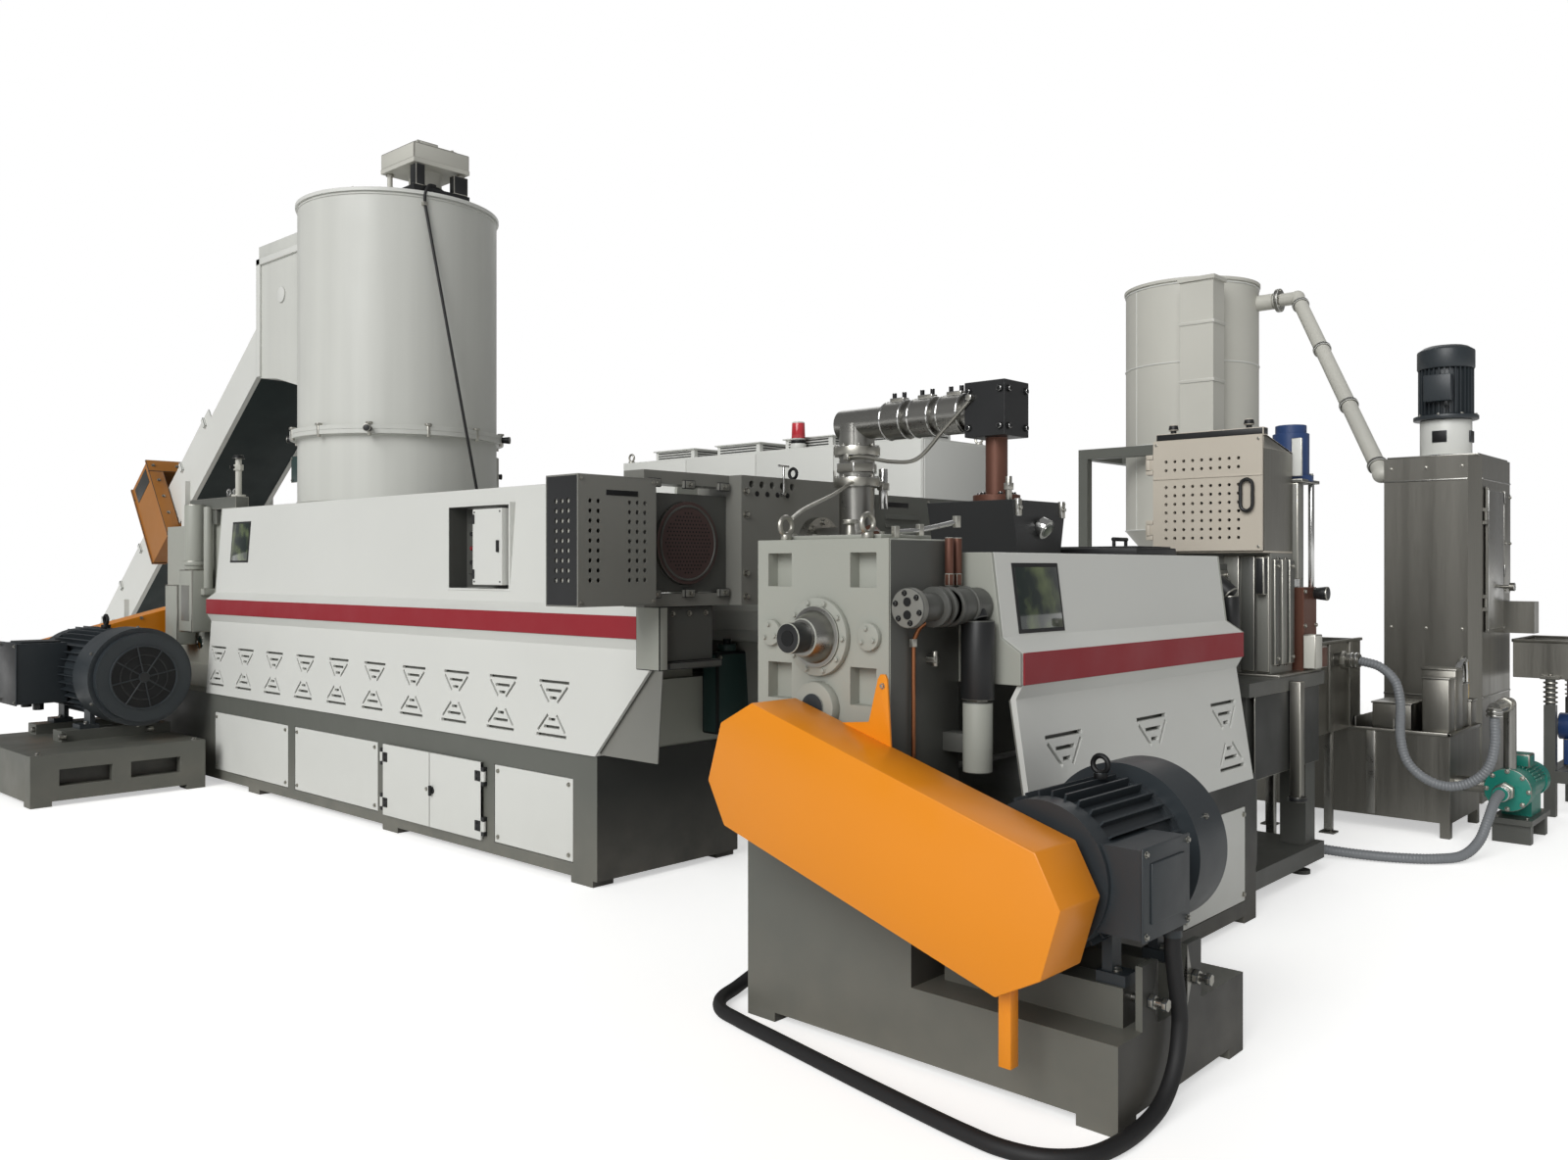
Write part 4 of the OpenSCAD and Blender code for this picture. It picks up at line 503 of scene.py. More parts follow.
class LINE_OT_finishes(bpy.types.Operator):
    """Mix the finishes and give every node of the frame its own"""

    bl_idname = "line.finishes"
    bl_label = "Finishes"

    def execute(self, context):
        c = context.scene.line_finishes
        # Powder-coated sheet: even satin white that drifts a little in tone
        painted(
            "white_paint", "Powder-coated sheet", c.cover, 0.38, grain=6, depth=0.03, tone=0.05, soil=0.15
        )
        # Machine enamel on welded steel: mid grey, satin, dusty toward the floor
        painted("grey_paint", "Enamelled weldment", c.frame, 0.46, grain=5, depth=0.05, tone=0.10, soil=0.5)
        # Enamel on cast iron: the sand of the mould shows through the coat; it also lightens faces of the
        # first frame's upright as painted light
        painted("casting_paint", "Enamelled casting and painted light", c.casting, 0.45, grain=9, depth=0.16, tone=0.10)
        # Painted shade: a dark coat for the end faces of the frames and for other faces and slots in shade,
        # and the dark seam of the first gearbox
        painted(
            "painted_shade_and_seam", "Painted shade and dark seams", linear("#2F302E"), 0.46,
            grain=5, depth=0.05, tone=0.12, soil=0.4,
        )
        # Grey enamel of the screen changer, worn and oily
        painted("block_paint", "Oily enamelled block", linear("#7C7C76"), 0.40, grain=7, depth=0.08, tone=0.2)
        # Pale grey enamel on small housings; on the air pipe, which is bright metal, it is a painted
        # reflection
        painted(
            "pale_paint", "Pale enamel and painted reflection", linear("#C4C3BA"), 0.42,
            grain=6, depth=0.05, tone=0.1,
        )
        # Dark green enamel of the compactor motor and the hydraulic set
        painted("green_paint", "Green motor enamel", linear("#203A38"), 0.38, grain=7, depth=0.08, tone=0.12)
        # White enamel on rolled plate: the drum, a little greyer than the covers, with upright streaks in its
        # tone as painted reflections
        painted(
            "drum_paint", "Enamelled plate with painted reflections", linear("#C9CAC4"), 0.40,
            grain=8, depth=0.04, lay=(6, 6, 0.2),
        )
        # Conveyor belting: dark green, matt
        painted("belt_sheet", "Woven belting", linear("#1D2A2A"), 0.6, grain=4, depth=0.08, tone=0.12)
        # Dull orange-brown enamel of the metal detector
        painted("detector_paint", "Detector enamel", linear("#A0682B"), 0.42, grain=6, depth=0.05, tone=0.15)
        # Dark enamel on oily, uneven steel blocks; also painted shade in the control recess and on gearbox
        # sides
        painted("dark_steel", "Dark enamelled steel and painted shade", linear("#535450"), 0.40, grain=6, depth=0.08, tone=0.2)
        # Motor enamel over a finned casting: near black, satin
        painted("slate_paint", "Motor enamel", c.motor, 0.40, grain=7, depth=0.08, tone=0.12)
        # Guard enamel: strong orange with an even gloss
        painted("orange_paint", "Guard enamel", c.guard, 0.36, grain=6, depth=0.03, tone=0.05)
        # Stripe of coloured film: flat and even
        painted("red_paint", "Stripe film", c.stripe, 0.5, grain=8, depth=0.02, tone=0.06)
        # Rolled stainless sheet: upright lines, greyed and smeared by water
        brushed("stainless", "Brushed stainless sheet", c.stainless, 0.36)
        # Turned and ground steel: bright, with short lines
        brushed(
            "bright_steel", "Machined steel", linear("#A9A8A3"), 0.30, along=(1, 0.2, 1), line=3, tone=0.3
        )
        # Pale enamelled perforated sheet, warm
        painted(
            "beige_sheet", "Pale enamelled sheet", linear("#C3BBAD"), 0.45,
            grain=6, depth=0.03, tone=0.08,
        )
        # Small motors in blue enamel
        painted("blue_paint", "Blue enamel", linear("#26406E"), 0.36, grain=6, depth=0.06, tone=0.1)
        # Pump enamel, green-blue and glossy
        painted("teal_paint", "Pump enamel", linear("#1C7D6E"), 0.32, grain=6, depth=0.06, tone=0.12)
        # Black enamel on folded sheet
        painted("black_paint", "Black enamel", linear("#1F2021"), 0.40, grain=5, depth=0.05, tone=0.15)
        # Steel browned by heat: dull, blotchy
        painted(
            "brown_steel", "Heat-browned steel", linear("#6B473A"), 0.45,
            grain=12, depth=0.1, tone=0.25, metallic=0.5,
        )
        # Cable and belt rubber: matt black with a fine tooth
        painted("black_rubber", "Moulded rubber", linear("#1B1B1C"), 0.62, grain=4, depth=0.1, tone=0.15)
        # Plasticised hose: soft grey
        painted("grey_hose", "Extruded hose", linear("#7A7D80"), 0.42, grain=8, depth=0.05, tone=0.12)
        # Zinc-plated fasteners: pale and slightly clouded
        brushed("zinc", "Zinc-plated steel", linear("#BDBBB2"), 0.36, along=(1, 1, 1), line=8, tone=0.25)
        # Hard chrome on guide columns
        brushed("chrome", "Chromed steel", linear("#D6D6D4"), 0.14, along=(1, 1, 0.1), line=6, tone=0.15)
        # Blackened socket screws, and dark discs as painted shade in holes, a bore and fan cowls
        painted(
            "black_oxide", "Blackened steel and painted shade", linear("#191A1B"), 0.5,
            grain=4, depth=0.05, tone=0.2, metallic=0.4,
        )
        # Moulded handles and knobs
        painted("nylon", "Moulded nylon", linear("#161718"), 0.46, grain=4, depth=0.06, tone=0.1)
        # Drawn copper tube, dulled
        brushed("copper", "Drawn copper", linear("#A8704F"), 0.34, along=(1, 1, 0.1), line=6, tone=0.35)
        # Tinted panes in the covers
        tinted("window", "Tinted acrylic", linear("#16231F"), linear("#7F8C5E"))
        # Red lamp lens
        tinted("beacon", "Moulded lamp lens", linear("#B31F2B"), linear("#E0525A"), 0.2)
        # Oxide-red face of the used screen pack
        painted(
            "oxide", "Heat-tinted screen", linear("#574441"), 0.55,
            grain=5, depth=0.3, tone=0.25, metallic=0.3,
        )
        # Yellow enamel of the sieve motor
        painted("yellow_paint", "Yellow enamel", linear("#C8A01E"), 0.4, grain=6, depth=0.05, tone=0.1)
        width = context.scene.line_sizes.edge
        for part in frame["record"]["subparts"]:
            node = NODES[part["node"]]
            node.data.materials.clear()
            node.data.materials.append(FINISH[COATS.get(part["node"], part["material_slot"])])
            soften(node, width)
        return {"FINISHED"}


# Facets closer than FLAT are one face, and edges sharper than CORNER are broken
FLAT, CORNER = math.radians(0.5), math.radians(34)


def soften(node, width):
    """Joins the node's facets into whole faces and breaks their edges."""
    normals = node.data.attributes.get("custom_normal")
    if normals:
        node.data.attributes.remove(normals)
    for polygon in node.data.polygons:
        polygon.use_smooth = True
    weld = node.modifiers.new("Weld", "WELD")
    weld.merge_threshold = 1e-5
    faces = node.modifiers.new("Faces", "DECIMATE")
    faces.decimate_type = "DISSOLVE"
    faces.angle_limit = FLAT
    faces.delimit = {"MATERIAL"}
    bevel = node.modifiers.new("Edges", "BEVEL")
    bevel.width = width
    bevel.segments = 2
    bevel.limit_method = "ANGLE"
    bevel.angle_limit = CORNER
    bevel.harden_normals = True
    bevel.use_clamp_overlap = True


# Cords: the routes repeat the frame's own, in millimetres from the datum, and the widths are in metres

CABLE_WIDTH, HOSE_WIDTH = 0.044, 0.05
# Mean radius of a ribbed hose, and the height of its ribs about that, in millimetres
HOSE_RADIUS, HOSE_RIB = 23.8, 1.2
CABLE = [
    (-855, -1066, 472),
    (-853, -1066, 432),
    (-833, -1066, 347),
    (-812, -1066, 262),
    (-810, -1066, 224),
    (-837, -1066, 124),
    (-910, -1066, 51),
    (-1010, -1066, 24),
    (-1170, -1066, 24),
    (-1270, -1039, 24),
    (-1343, -966, 24),
    (-1370, -866, 24),
    (-1365, -760, 24),
    (-1310, -400, 24),
    (-1240, 0, 24),
    (-1200, 220, 24),
    (-1173, 320, 24),
    (-1100, 393, 24),
    (-1000, 420, 30),
    (-900, 420, 60),
    (-820, 420, 92),
    (-730, 420, 100),
]
UPPER_HOSE = [
    (3000, -330, 952),
    (3000, -430, 925),
    (3000, -505, 852),
    (3000, -530, 752),
    (3010, -530, 552),
    (3020, -560, 432),
    (3030, -640, 352),
    (3035, -745, 322),
    (3040, -850, 352),
    (3045, -930, 432),
    (3050, -960, 552),
    (3050, -960, 700),
]
LOWER_HOSE = [
    (3160, -960, 290),
    (3060, -960, 272),
    (2950, -955, 195),
    (2850, -935, 95),
    (2740, -890, 38),
    (2620, -800, 28),
    (2520, -660, 28),
    (2450, -500, 32),
    (2370, -360, 48),
    (2270, -260, 76),
    (2180, -218, 97),
    (2100, -210, 100),
]


class LINE_OT_cords(bpy.types.Operator):
    """Lay the motor cable and the two water hoses"""

    bl_idname = "line.cords"
    bl_label = "Cords"

    def execute(self, context):
        line = through([at(*p) for p in CABLE], 6)
        data = bpy.data.curves.new("motor_cable_rubber", "CURVE")
        data.dimensions = "3D"
        data.bevel_depth = CABLE_WIDTH / 2
        data.bevel_resolution = 5
        data.use_fill_caps = True
        spline = data.splines.new("POLY")
        spline.points.add(len(line) - 1)
        for point, place in zip(spline.points, line):
            point.co = (*place, 1)
        spline.use_smooth = True
        data.materials.append(FINISH["black_rubber"])
        cable = bpy.data.objects.new("motor_cable_rubber", data)
        context.scene.collection.objects.link(cable)
        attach(cable, "line")
        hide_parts("motor_cable")
        pitch = context.scene.line_sizes.hose_pitch * 1000

        def ribbed(distance):
            return HOSE_RADIUS + HOSE_RIB * math.cos(2 * math.pi * distance / pitch)

        for name, route, lay in (("upper_hose", UPPER_HOSE, "hanging"), ("lower_hose", LOWER_HOSE, "loose")):
            points = through([Vector(p) for p in route], 40)
            hose = Fitting(name + "_ribbed", "grey_hose")
            hose.sweep(points, ribbed, 16)
            piece = hose.made(slot="grey_hose", replaces=[name])
        return {"FINISHED"}


def dress(node, finish, wanted):
    """Gives a finish to the wanted faces of a node, by their middle in millimetres and their normal."""
    mesh = NODES[node].data
    mesh.materials.append(FINISH[finish])
    last = len(mesh.materials) - 1
    for polygon in mesh.polygons:
        if wanted((polygon.center - DATUM) * 1000, polygon.normal):
            polygon.material_index = last


class LINE_OT_frames(bpy.types.Operator):
    """Fasten the panels and doors of the two frames"""

    bl_idname = "line.frames"
    bl_label = "Frames and doors"

    def execute(self, context):
        f = Fitting("frame_fasteners", "zinc")
        bays = ((2050, 2640), (2770, 3680), (3810, 4765), (4895, 5925))
        for side in (-1, 1):
            for near, far in bays if side > 0 else (bays[0], *bays[2:]):
                f.bolts(side * 450, (near + 12, far - 12), (122, 448), X * side, 9)
            f.bolts((442, 988), side * 510, (122, 448), Y * side, 9)
            f.bolts(side * 425, (1905, 2710, 3745, 4830, 6000, 6560, 7100), 600, Z, 11)
            f.bolts((-640, 1040), side * 480, 600, Z, 11)
        f.made()
        # The end faces toward the second stage are darkened as painted shade, and the faces of the first
        # frame's upright that look the same way are lightened as painted light
        dress("first_frame", "painted_shade_and_seam", lambda p, n: n.y < -0.9 and p.z < 600)
        dress("second_frame", "painted_shade_and_seam", lambda p, n: n.y < -0.9)
        dress("first_frame", "casting_paint", lambda p, n: n.y < -0.7 and p.z > 600)

        def jack_bar(p, n):
            return -925 < p.x < -620 and p.y < -960 and 290 < p.z < 320

        dress("second_frame", "bright_steel", jack_bar)
        for leaf, out, hinge in (("service_door_right", 1, 2732), ("service_door_left", -1, 3718)):
            d = Fitting(leaf + "_fittings", "nylon")
            for z in (160, 410):
                d.use("nylon").box(-475, -469, hinge + out * 20, hinge + out * 66, z - 26, z + 26, 2)
                d.use("black_oxide")
                for k in (-14, 14):
                    d.bar_x(-475, -478, hinge + out * 46, z + k, 6, sides=14, edge=0.8)
            if out > 0:
                d.use("nylon").bar_x(-469, -478, 3196, 285, 19, edge=2)
                d.box(-492, -477, 3188, 3204, 258, 312, 4)
            else:
                d.use("zinc").bar_x(-469, -473, 3254, 285, 11, sides=20)
            d.made(leaf)
        return {"FINISHED"}


class LINE_OT_covers(bpy.types.Operator):
    """Set the windows, the control recess and the vent lid in the covers"""

    bl_idname = "line.covers"
    bl_label = "Covers"

    def execute(self, context):
        c = Fitting("cover_fittings", "black_rubber")

        # Half width of each upper cover at a height, from its fold upward
        def first(z):
            return 400 - (z - 1285) * 45 / 575

        def second(z):
            return 440 - (z - 1235) * 35 / 265

        for finish, rim, out in (("black_rubber", 12, 2), ("window", 0, 4)):
            for along, face, low, high, z0, z1 in (
                ("y", first, 5600, 5850, 1500, 1750),
                ("x", second, -590, -330, 1255, 1455),
            ):
                for side in (-1, 1):
                    turns = ((z0 - rim, out), (z1 + rim, out), (z1 + rim, -4), (z0 - rim, -4))
                    outline = [(side * (face(z) + d), z) for z, d in turns]
                    c.use(finish).prism(outline, along, low - rim, high + rim, 1.2)
        # Lid over the vent zone of the second screw
        c.use("black_paint").box(420, 760, -330, 330, 1499, 1530, 6)
        c.box(436, 744, -314, 314, 1530, 1536, 3)
        c.use("nylon")
        for y in (-170, 170):
            for x in (540, 640):
                c.bar_z(1534, 1566, x, y, 7)
            c.bar_x(532, 648, y, 1566, 8)
        # Lining behind the vents of the lower folds
        c.use("block_paint")
        for along, low, high, foot, fold, top in (
            ("y", 1460, 6030, 465, 430, 1085),
            ("x", -680, 965, 555, 485, 1040),
        ):
            for side in (-1, 1):
                turns = ((foot, 28, 606), (fold, 28, top), (fold, 34, top), (foot, 34, 606))
                c.prism([(side * (half - depth), z) for half, depth, z in turns], along, low, high, 0)
        # Door and switches of the control recess
        c.use("nylon").box(-436, -425, 2656, 2672, 1530, 1590, 3)
        for z in (1420, 1700):
            c.box(-430, -424, 2872, 2889, z - 24, z + 24, 2)
        c.use("black_oxide")
        for y, z in ((2650, 1382), (2650, 1734), (2874, 1382), (2874, 1734)):
            c.bar_x(-424, -427, y, z, 5, sides=12, edge=0.6)
        c.use("dark_steel").box(-300, -281, 2930, 3120, 1420, 1690, 3)
        for row, z in enumerate((1480, 1555, 1630)):
            for y in (2980, 3070):
                c.use("zinc").bar_x(-300, -306, y, z, 17, sides=22)
                c.use(("nylon", "red_paint", "nylon")[row]).bar_x(-306, -318, y, z, 12, sides=22, edge=2)
        c.made()

        def recess(p, n):
            walls = -394 < p.x and 2890 < p.y < 3159 and 1347 < p.z < 1769
            return walls or (n.x < -0.9 and p.x > -300)

        # The inside walls and the back of the control recess are darkened as painted shade
        dress("control_niche", "dark_steel", recess)
        return {"FINISHED"}


class LINE_OT_changer(bpy.types.Operator):
    """Fit the screen changer, its perforated guards and the melt pipe"""

    bl_idname = "line.changer"
    bl_label = "Screen changer"

    def execute(self, context):
        self.guards()
        c = Fitting("screen_changer_fittings", "black_oxide")
        # Cap screws, flange bolts, clamps of the slide, a drawn handle and a lifting eye
        for k in range(4):
            c.bar_y(991, 987, -309 + 62 * k, 1757, 11, sides=18)
        c.use("zinc").bolts((-372, 424), 990, (1335, 1430, 1670, 1765), -Y, 13)
        c.bolt_circle((60, 950, 1550), -Y, 98, 8, 12)
        c.use("block_paint")
        for x in (-842, -662, -470):
            for z in (1764, 1334):
                c.box(x, x + 56, 1042, 1064, z, z + 34, 3)
        c.use("zinc").bolts((-814, -634, -442), 1042, (1781, 1351), -Y, 8)
        c.use("chrome").bar_z(1755, 1880, -161, 976, 5)
        c.bar_x(-192, -130, 976, 1880, 5)
        c.bar_y(990, 970, -161, 1762, 9)
        c.use("black_oxide").bar_z(1829, 1842, 45, 1110, 16)
        c.ring((45, 1110, 1866), X, 22, 7)
        # Housing of the slide drive under the window
        c.use("casting_paint").box(-790, -745, 1050, 1190, 1050, 1300, 4)
        c.use("dark_steel").box(-745, -470, 1085, 1190, 1080, 1300, 4)
        c.box(-730, -440, 1060, 1190, 1050, 1080, 4)
        c.use("zinc").bolts((-690, -600, -510), 1085, 1270, -Y, 9)
        # Hydraulic set on the upright of the first frame
        c.use("green_paint").box(205, 446, 1750, 1860, 640, 1040, 12)
        c.bar_z(1040, 1075, 325, 1805, 46)
        c.use("black_oxide").bar_z(1075, 1100, 325, 1805, 20)
        c.use("zinc").bolts((225, 426), 1750, (665, 1015), -Y, 9)
        c.made()
        # Dark discs on the breaker plate are painted shade in its holes
        b = Fitting("breaker_plate_holes", "black_oxide")
        for row in range(-8, 9):
            for k in range(-8, 9):
                x, z = k * 17 + (row % 2) * 8.5, row * 14.7
                if math.hypot(x, z) < 122:
                    b.bar_y(1060, 1057.4, -630 + x, 1550 + z, 4, sides=8, edge=0)
        b.use("dark_steel").ring((-630, 1058, 1550), Y, 146, 5, 48)
        b.made()
        dress("slide_plate", "dark_steel", lambda p, n: p.y > 1079)
        dress("slide_plate", "oxide", lambda p, n: p.y < 1079 and n.y < -0.9)
        m = Fitting("melt_pipe_fittings", "chrome")
        for y in (200, 340, 480):
            for e in (y + 8, y + 102):
                m.use("chrome").ring((60, e, 2055), Y, 77, 4, 40)
            m.use("zinc").box(40, 80, y + 20, y + 90, 2128, 2146, 3)
            m.use("black_oxide").bar_z(2137, 2168, 60, y + 30, 9)
            m.bar_z(2137, 2168, 60, y + 80, 9)
        for z, r, sides in ((1790, 98, 40), (1850, 90, 6), (1920, 98, 40)):
            m.use("zinc").bar_z(z, z + 40, 60, 760, r, sides=sides, edge=3)
        m.bolt_circle((60, 760, 1830), Z, 86, 8, 9)
        m.bolt_circle((60, 760, 1960), Z, 86, 8, 9)
        m.use("chrome").bar_z(1700, 1870, 150, 690, 19)
        m.use("zinc").bar_z(1780, 1810, 150, 690, 28, sides=6)
        m.bar_x(60, 150, 690, 1805, 15)
        m.use("brown_steel").bar_y(685, 655, 60, 1550, 84, 60, edge=4)
        # Pressure tubes to the gearbox and to the drop block
        m.use("zinc").wire([(-1020, 150, 1610), (-820, 280, 1650), (-400, 500, 1730), (-20, 720, 1808)], 7)
        low_run = [(-16, 740, 1910), (-34, 640, 1904), (-36, 500, 1878)]
        m.wire([*low_run, (-36, 380, 1880), (-36, 250, 1985), (-30, 128, 2095)], 8)
        for end in ((-16, 740, 1910), (-24, 128, 2100)):
            m.rod(end, Vector(end) - X * 24, 15, sides=6, edge=2)
        dress("drop_pipe", "black_paint", lambda p, n: p.z > 1949)
        m.use("black_oxide").bolts(-25, (0, 140), (1985, 2125), -X, 11)
        m.bolts((0, 120), -20, (1985, 2125), -Y, 11)
        m.bolt_circle((60, 70, 1730), Z, 68, 6, 10)
        # Fittings on the hopper: sight glass, thermocouple and clamps
        m.use("chrome").rod((60, -120, 1610), (60, -150, 1590), 38)
        m.use("window").rod((60, -150, 1590), (60, -153, 1588), 27)
        m.use("zinc")
        for x in (-95, 215):
            m.box(x - 14, x + 14, -130, -112, 1640, 1704, 3)
            m.bolt((x, -130, 1672), -Y, 8)
        m.bar_z(1700, 1790, -60, -60, 12)
        m.bar_z(1740, 1765, -60, -60, 20, sides=6)
        m.bar_z(1700, 1770, 190, 180, 16)
        m.made()
        return {"FINISHED"}

    def guards(self):
        """The perforated guard on the left of the window and the plain guard on the right."""
        g = Fitting("screen_guards_sheet", "block_paint")
        two_blocks = cells((1, 2, 6, 7, 8), range(2, 11))
        one_block = cells((1, 2, 3), range(2, 11))
        g.sheet((-1230, 990, 1316), (370, 0, 0), (0, 0, 468), 10, 13, 6, 9, two_blocks)
        g.sheet((-860, 1180, 1316), (-370, 0, 0), (0, 0, 468), 10, 13, 6, 9, two_blocks)
        for z in (1310, 1784):
            g.box(-1230, -860, 990, 1180, z, z + 6, 1)
        g.use("black_paint").sheet((-1230, 1174, 1316), (0, -178, 0), (0, 0, 468), 5, 13, 6, 10, one_block)
        g.use("pale_paint").box(-1222, -1219, 998, 1172, 1320, 1780, 0)
        g.use("grey_paint")
        for y in (1000, 1204):
            g.box(450, 1360, y, y + 6, 1336, 1784, 1)
        g.box(1354, 1360, 1006, 1204, 1336, 1784, 1)
        for z in (1330, 1784):
            g.box(450, 1360, 1000, 1210, z, z + 6, 1)
        for z in (1600, 1640, 1680):
            g.prism([(1000, z), (990, z), (1000, z + 22)], "x", 560, 820, 1)
        g.use("black_oxide").box(-1104, -950, 988.5, 992, 1716, 1738, 1)
        g.box(560, 740, 998.5, 1002, 1735, 1760, 1)
        g.use("zinc").bolts((-1216, -874), 990, (1326, 1774), -Y, 6)
        g.bolts((470, 900, 1340), 1000, (1350, 1770), -Y, 6)
        g.made(slot="dark_steel", replaces=["screen_guards"])


class LINE_OT_second_drive(bpy.types.Operator):
    """Fit the second gearbox, its oil pump, belt guard and motor"""

    bl_idname = "line.second_drive"
    bl_label = "Second drive"

    def execute(self, context):
        self.gearbox()
        self.oil_pump()
        self.belt_guard()
        self.motor()
        return {"FINISHED"}

    def gearbox(self):
        """The cast gearbox with four corner pockets, the hub of the screw, bosses and lifting eyes."""
        g = Fitting("second_gearbox_casting", "casting_paint")
        mid, half, top, axis = -15, 268, 1540, 1238
        g.box(-1025, -710, mid - half, mid + half, 600, top, 5)
        g.box(-1070, -1025, mid - 120, mid + 120, 600, top, 0)
        for side in (-1, 1):
            g.box(-1070, -1025, mid + side * 222, mid + side * half, 600, top, 0)
            for z0, z1 in ((600, 1035), (1150, 1392), (1498, top)):
                g.box(-1070, -1025, mid + side * 120, mid + side * 222, z0, z1, 0)
            g.bar_x(-1070, -1088, mid + side * 200, axis + 6, 42, edge=3)
            g.bolt_circle((-1088, mid + side * 200, axis + 6), -X, 26, 3, 7, 0.4)
        g.box(-1020, -760, mid - 200, mid + 200, top, top + 14, 3)
        g.bar_x(-1070, -1092, mid, axis, 122, sides=56, edge=4)
        g.bar_x(-1070, -1106, mid, 1020, 80, sides=40, edge=5)
        g.bar_x(-1070, -1100, mid, 830, 115, sides=40, edge=4)
        g.bolt_circle((-1092, mid, axis), -X, 108, 10, 8, 0.13)
        g.use("bright_steel").bar_x(-1092, -1100, mid, axis, 96, sides=56, edge=2)
        g.bar_x(-1100, -1158, mid, axis, 84, 58, sides=56, edge=3)
        g.bar_x(-1100, -1130, mid, 830, 45)
        g.use("slate_paint").bar_x(-1106, -1110, mid, 1020, 44, edge=1)
        g.use("black_paint").bar_x(-1158, -1222, mid, axis, 47, sides=40, edge=3)
        # The black disc at the end of the hub is painted shade in its bore
        g.use("black_oxide").bar_x(-1222, -1224, mid, axis, 24, edge=0)
        # Side plates darkened as painted shade, lid bolts and lifting eyes
        g.use("dark_steel")
        for y in (mid - half - 3, mid + half):
            g.box(-1066, -712, y, y + 3, 604, top - 4, 1)
        g.use("zinc").bolts((-990, -890, -790), (mid - 180, mid + 180), top + 14, Z, 8)
        for y in (mid - 168, mid + 168):
            g.bar_z(top, top + 18, -1045, y, 18)
            g.ring((-1045, y, top + 46), Y, 28, 8)
        g.bar_z(top, top + 60, -760, 120, 20, 14)
        g.bar_z(top + 60, top + 74, -760, 120, 26)
        # Copper oil line, valve, tubes and the two browned cylinders on the side toward the motor
        side = mid - half - 3
        g.use("copper").wire([(-968, side - 12, 780), (-968, side - 12, 1000), (-968, side - 12, 1230)], 7)
        g.wire([(-968, side - 12, 1230), (-962, side - 30, 1268), (-950, side - 60, 1294)], 7)
        g.use("zinc")
        for z in (800, 1225):
            g.bar_z(z - 12, z + 12, -968, side - 12, 13, sides=6)
        g.bar_y(side, side - 34, -877, 1170, 14, sides=6)
        g.bar_z(1150, 1196, -877, side - 26, 9)
        tube = [(-980, -240, 1560), (-900, -255, 1566), (-820, -280, 1580), (-752, -306, 1596)]
        g.use("chrome").wire(tube, 8)
        for x, y, z in ((-980, -240, 1560), (-880, -258, 1568), (-752, -306, 1596)):
            g.use("zinc").bar_z(z - 18, z + 18, x, y, 14, sides=6)
        g.use("brown_steel")
        for x in (-792, -748):
            g.bar_z(1396, 1432, x, side - 20, 16, sides=6)
            g.bar_z(1432, 1546, x, side - 20, 14, edge=2)
        g.made(slot="casting_paint", replaces=["second_gearbox"])

    def oil_pump(self):
        """The oil pump beside the gearbox, with its filter and the pale cooler under it."""
        p = Fitting("oil_pump_casting", "dark_steel")
        y, z = -362, 1334
        p.bar_x(-1058, -880, y, z, 43, edge=2)
        p.box(-1030, -900, y, -284, z - 36, z + 36, 4)
        p.bar_x(-880, -716, y, z, 56, edge=4)
        for x in (-960, -925, -880, -800):
            p.bar_x(x, x + 12, y, z, 62, edge=3)
        p.use("block_paint").bar_x(-1084, -1058, y, z, 60, edge=3)
        p.use("black_oxide").bolt_circle((-1084, y, z), -X, 45, 6, 7, 0.5)
        for dz in (-20, 18):
            p.bar_x(-1084, -1087, y, z + dz, 13, edge=0)
        p.use("black_paint").bar_z(1046, 1290, -770, y - 34, 52, edge=4)
        p.rod((-770, y - 34, 1290), (-770, y - 20, z - 10), 34, edge=3)
        p.use("zinc").bar_z(1040, 1050, -770, y - 34, 36, sides=6)
        p.use("casting_paint").bar_z(822, 1040, -770, y - 34, 46, edge=4)
        p.use("dark_steel").box(-800, -740, y - 20, -284, 880, 940, 4)
        p.made(slot="slate_paint", replaces=["oil_pump"])

    def belt_guard(self):
        """The belt guard: a long octagon round both pulleys, its tapered strap and its leg."""
        o = Fitting("second_belt_guard_shell", "orange_paint")
        pulley, lean, run = (-785, 590), math.atan2(240, 785), math.hypot(240, 785)
        upper = [(-200, 95), (-95, 200), (run + 95, 200), (run + 200, 95)]
        corners = upper + [(along, -up) for along, up in reversed(upper)]
        o.prism([leaning(pulley, lean, *corner) for corner in corners], "x", -1330, -1130, 5)
        tip = [(-330, 1128), (-322, 1142), (-306, 1142), (-296, 1128)]
        o.prism([(-120, 985), (-345, 915), *tip, (-262, 1000)], "x", -1140, -1131, 2)
        o.box(-1264, -1226, -824, -786, 170, 490, 3)
        o.use("zinc").bolt((-1140, -314, 1108), -X, 7)
        for along in (-40, 280, 560, 860):
            for up in (-165, 165):
                o.bolt((-1130, *leaning(pulley, lean, along, up)), X, 9)
        o.made(slot="orange_paint", replaces=["second_belt_guard"])

    def motor(self):
        """Fittings of the second motor."""
        m = Fitting("second_motor_fittings", "slate_paint")
        shaft = (-806, 635)
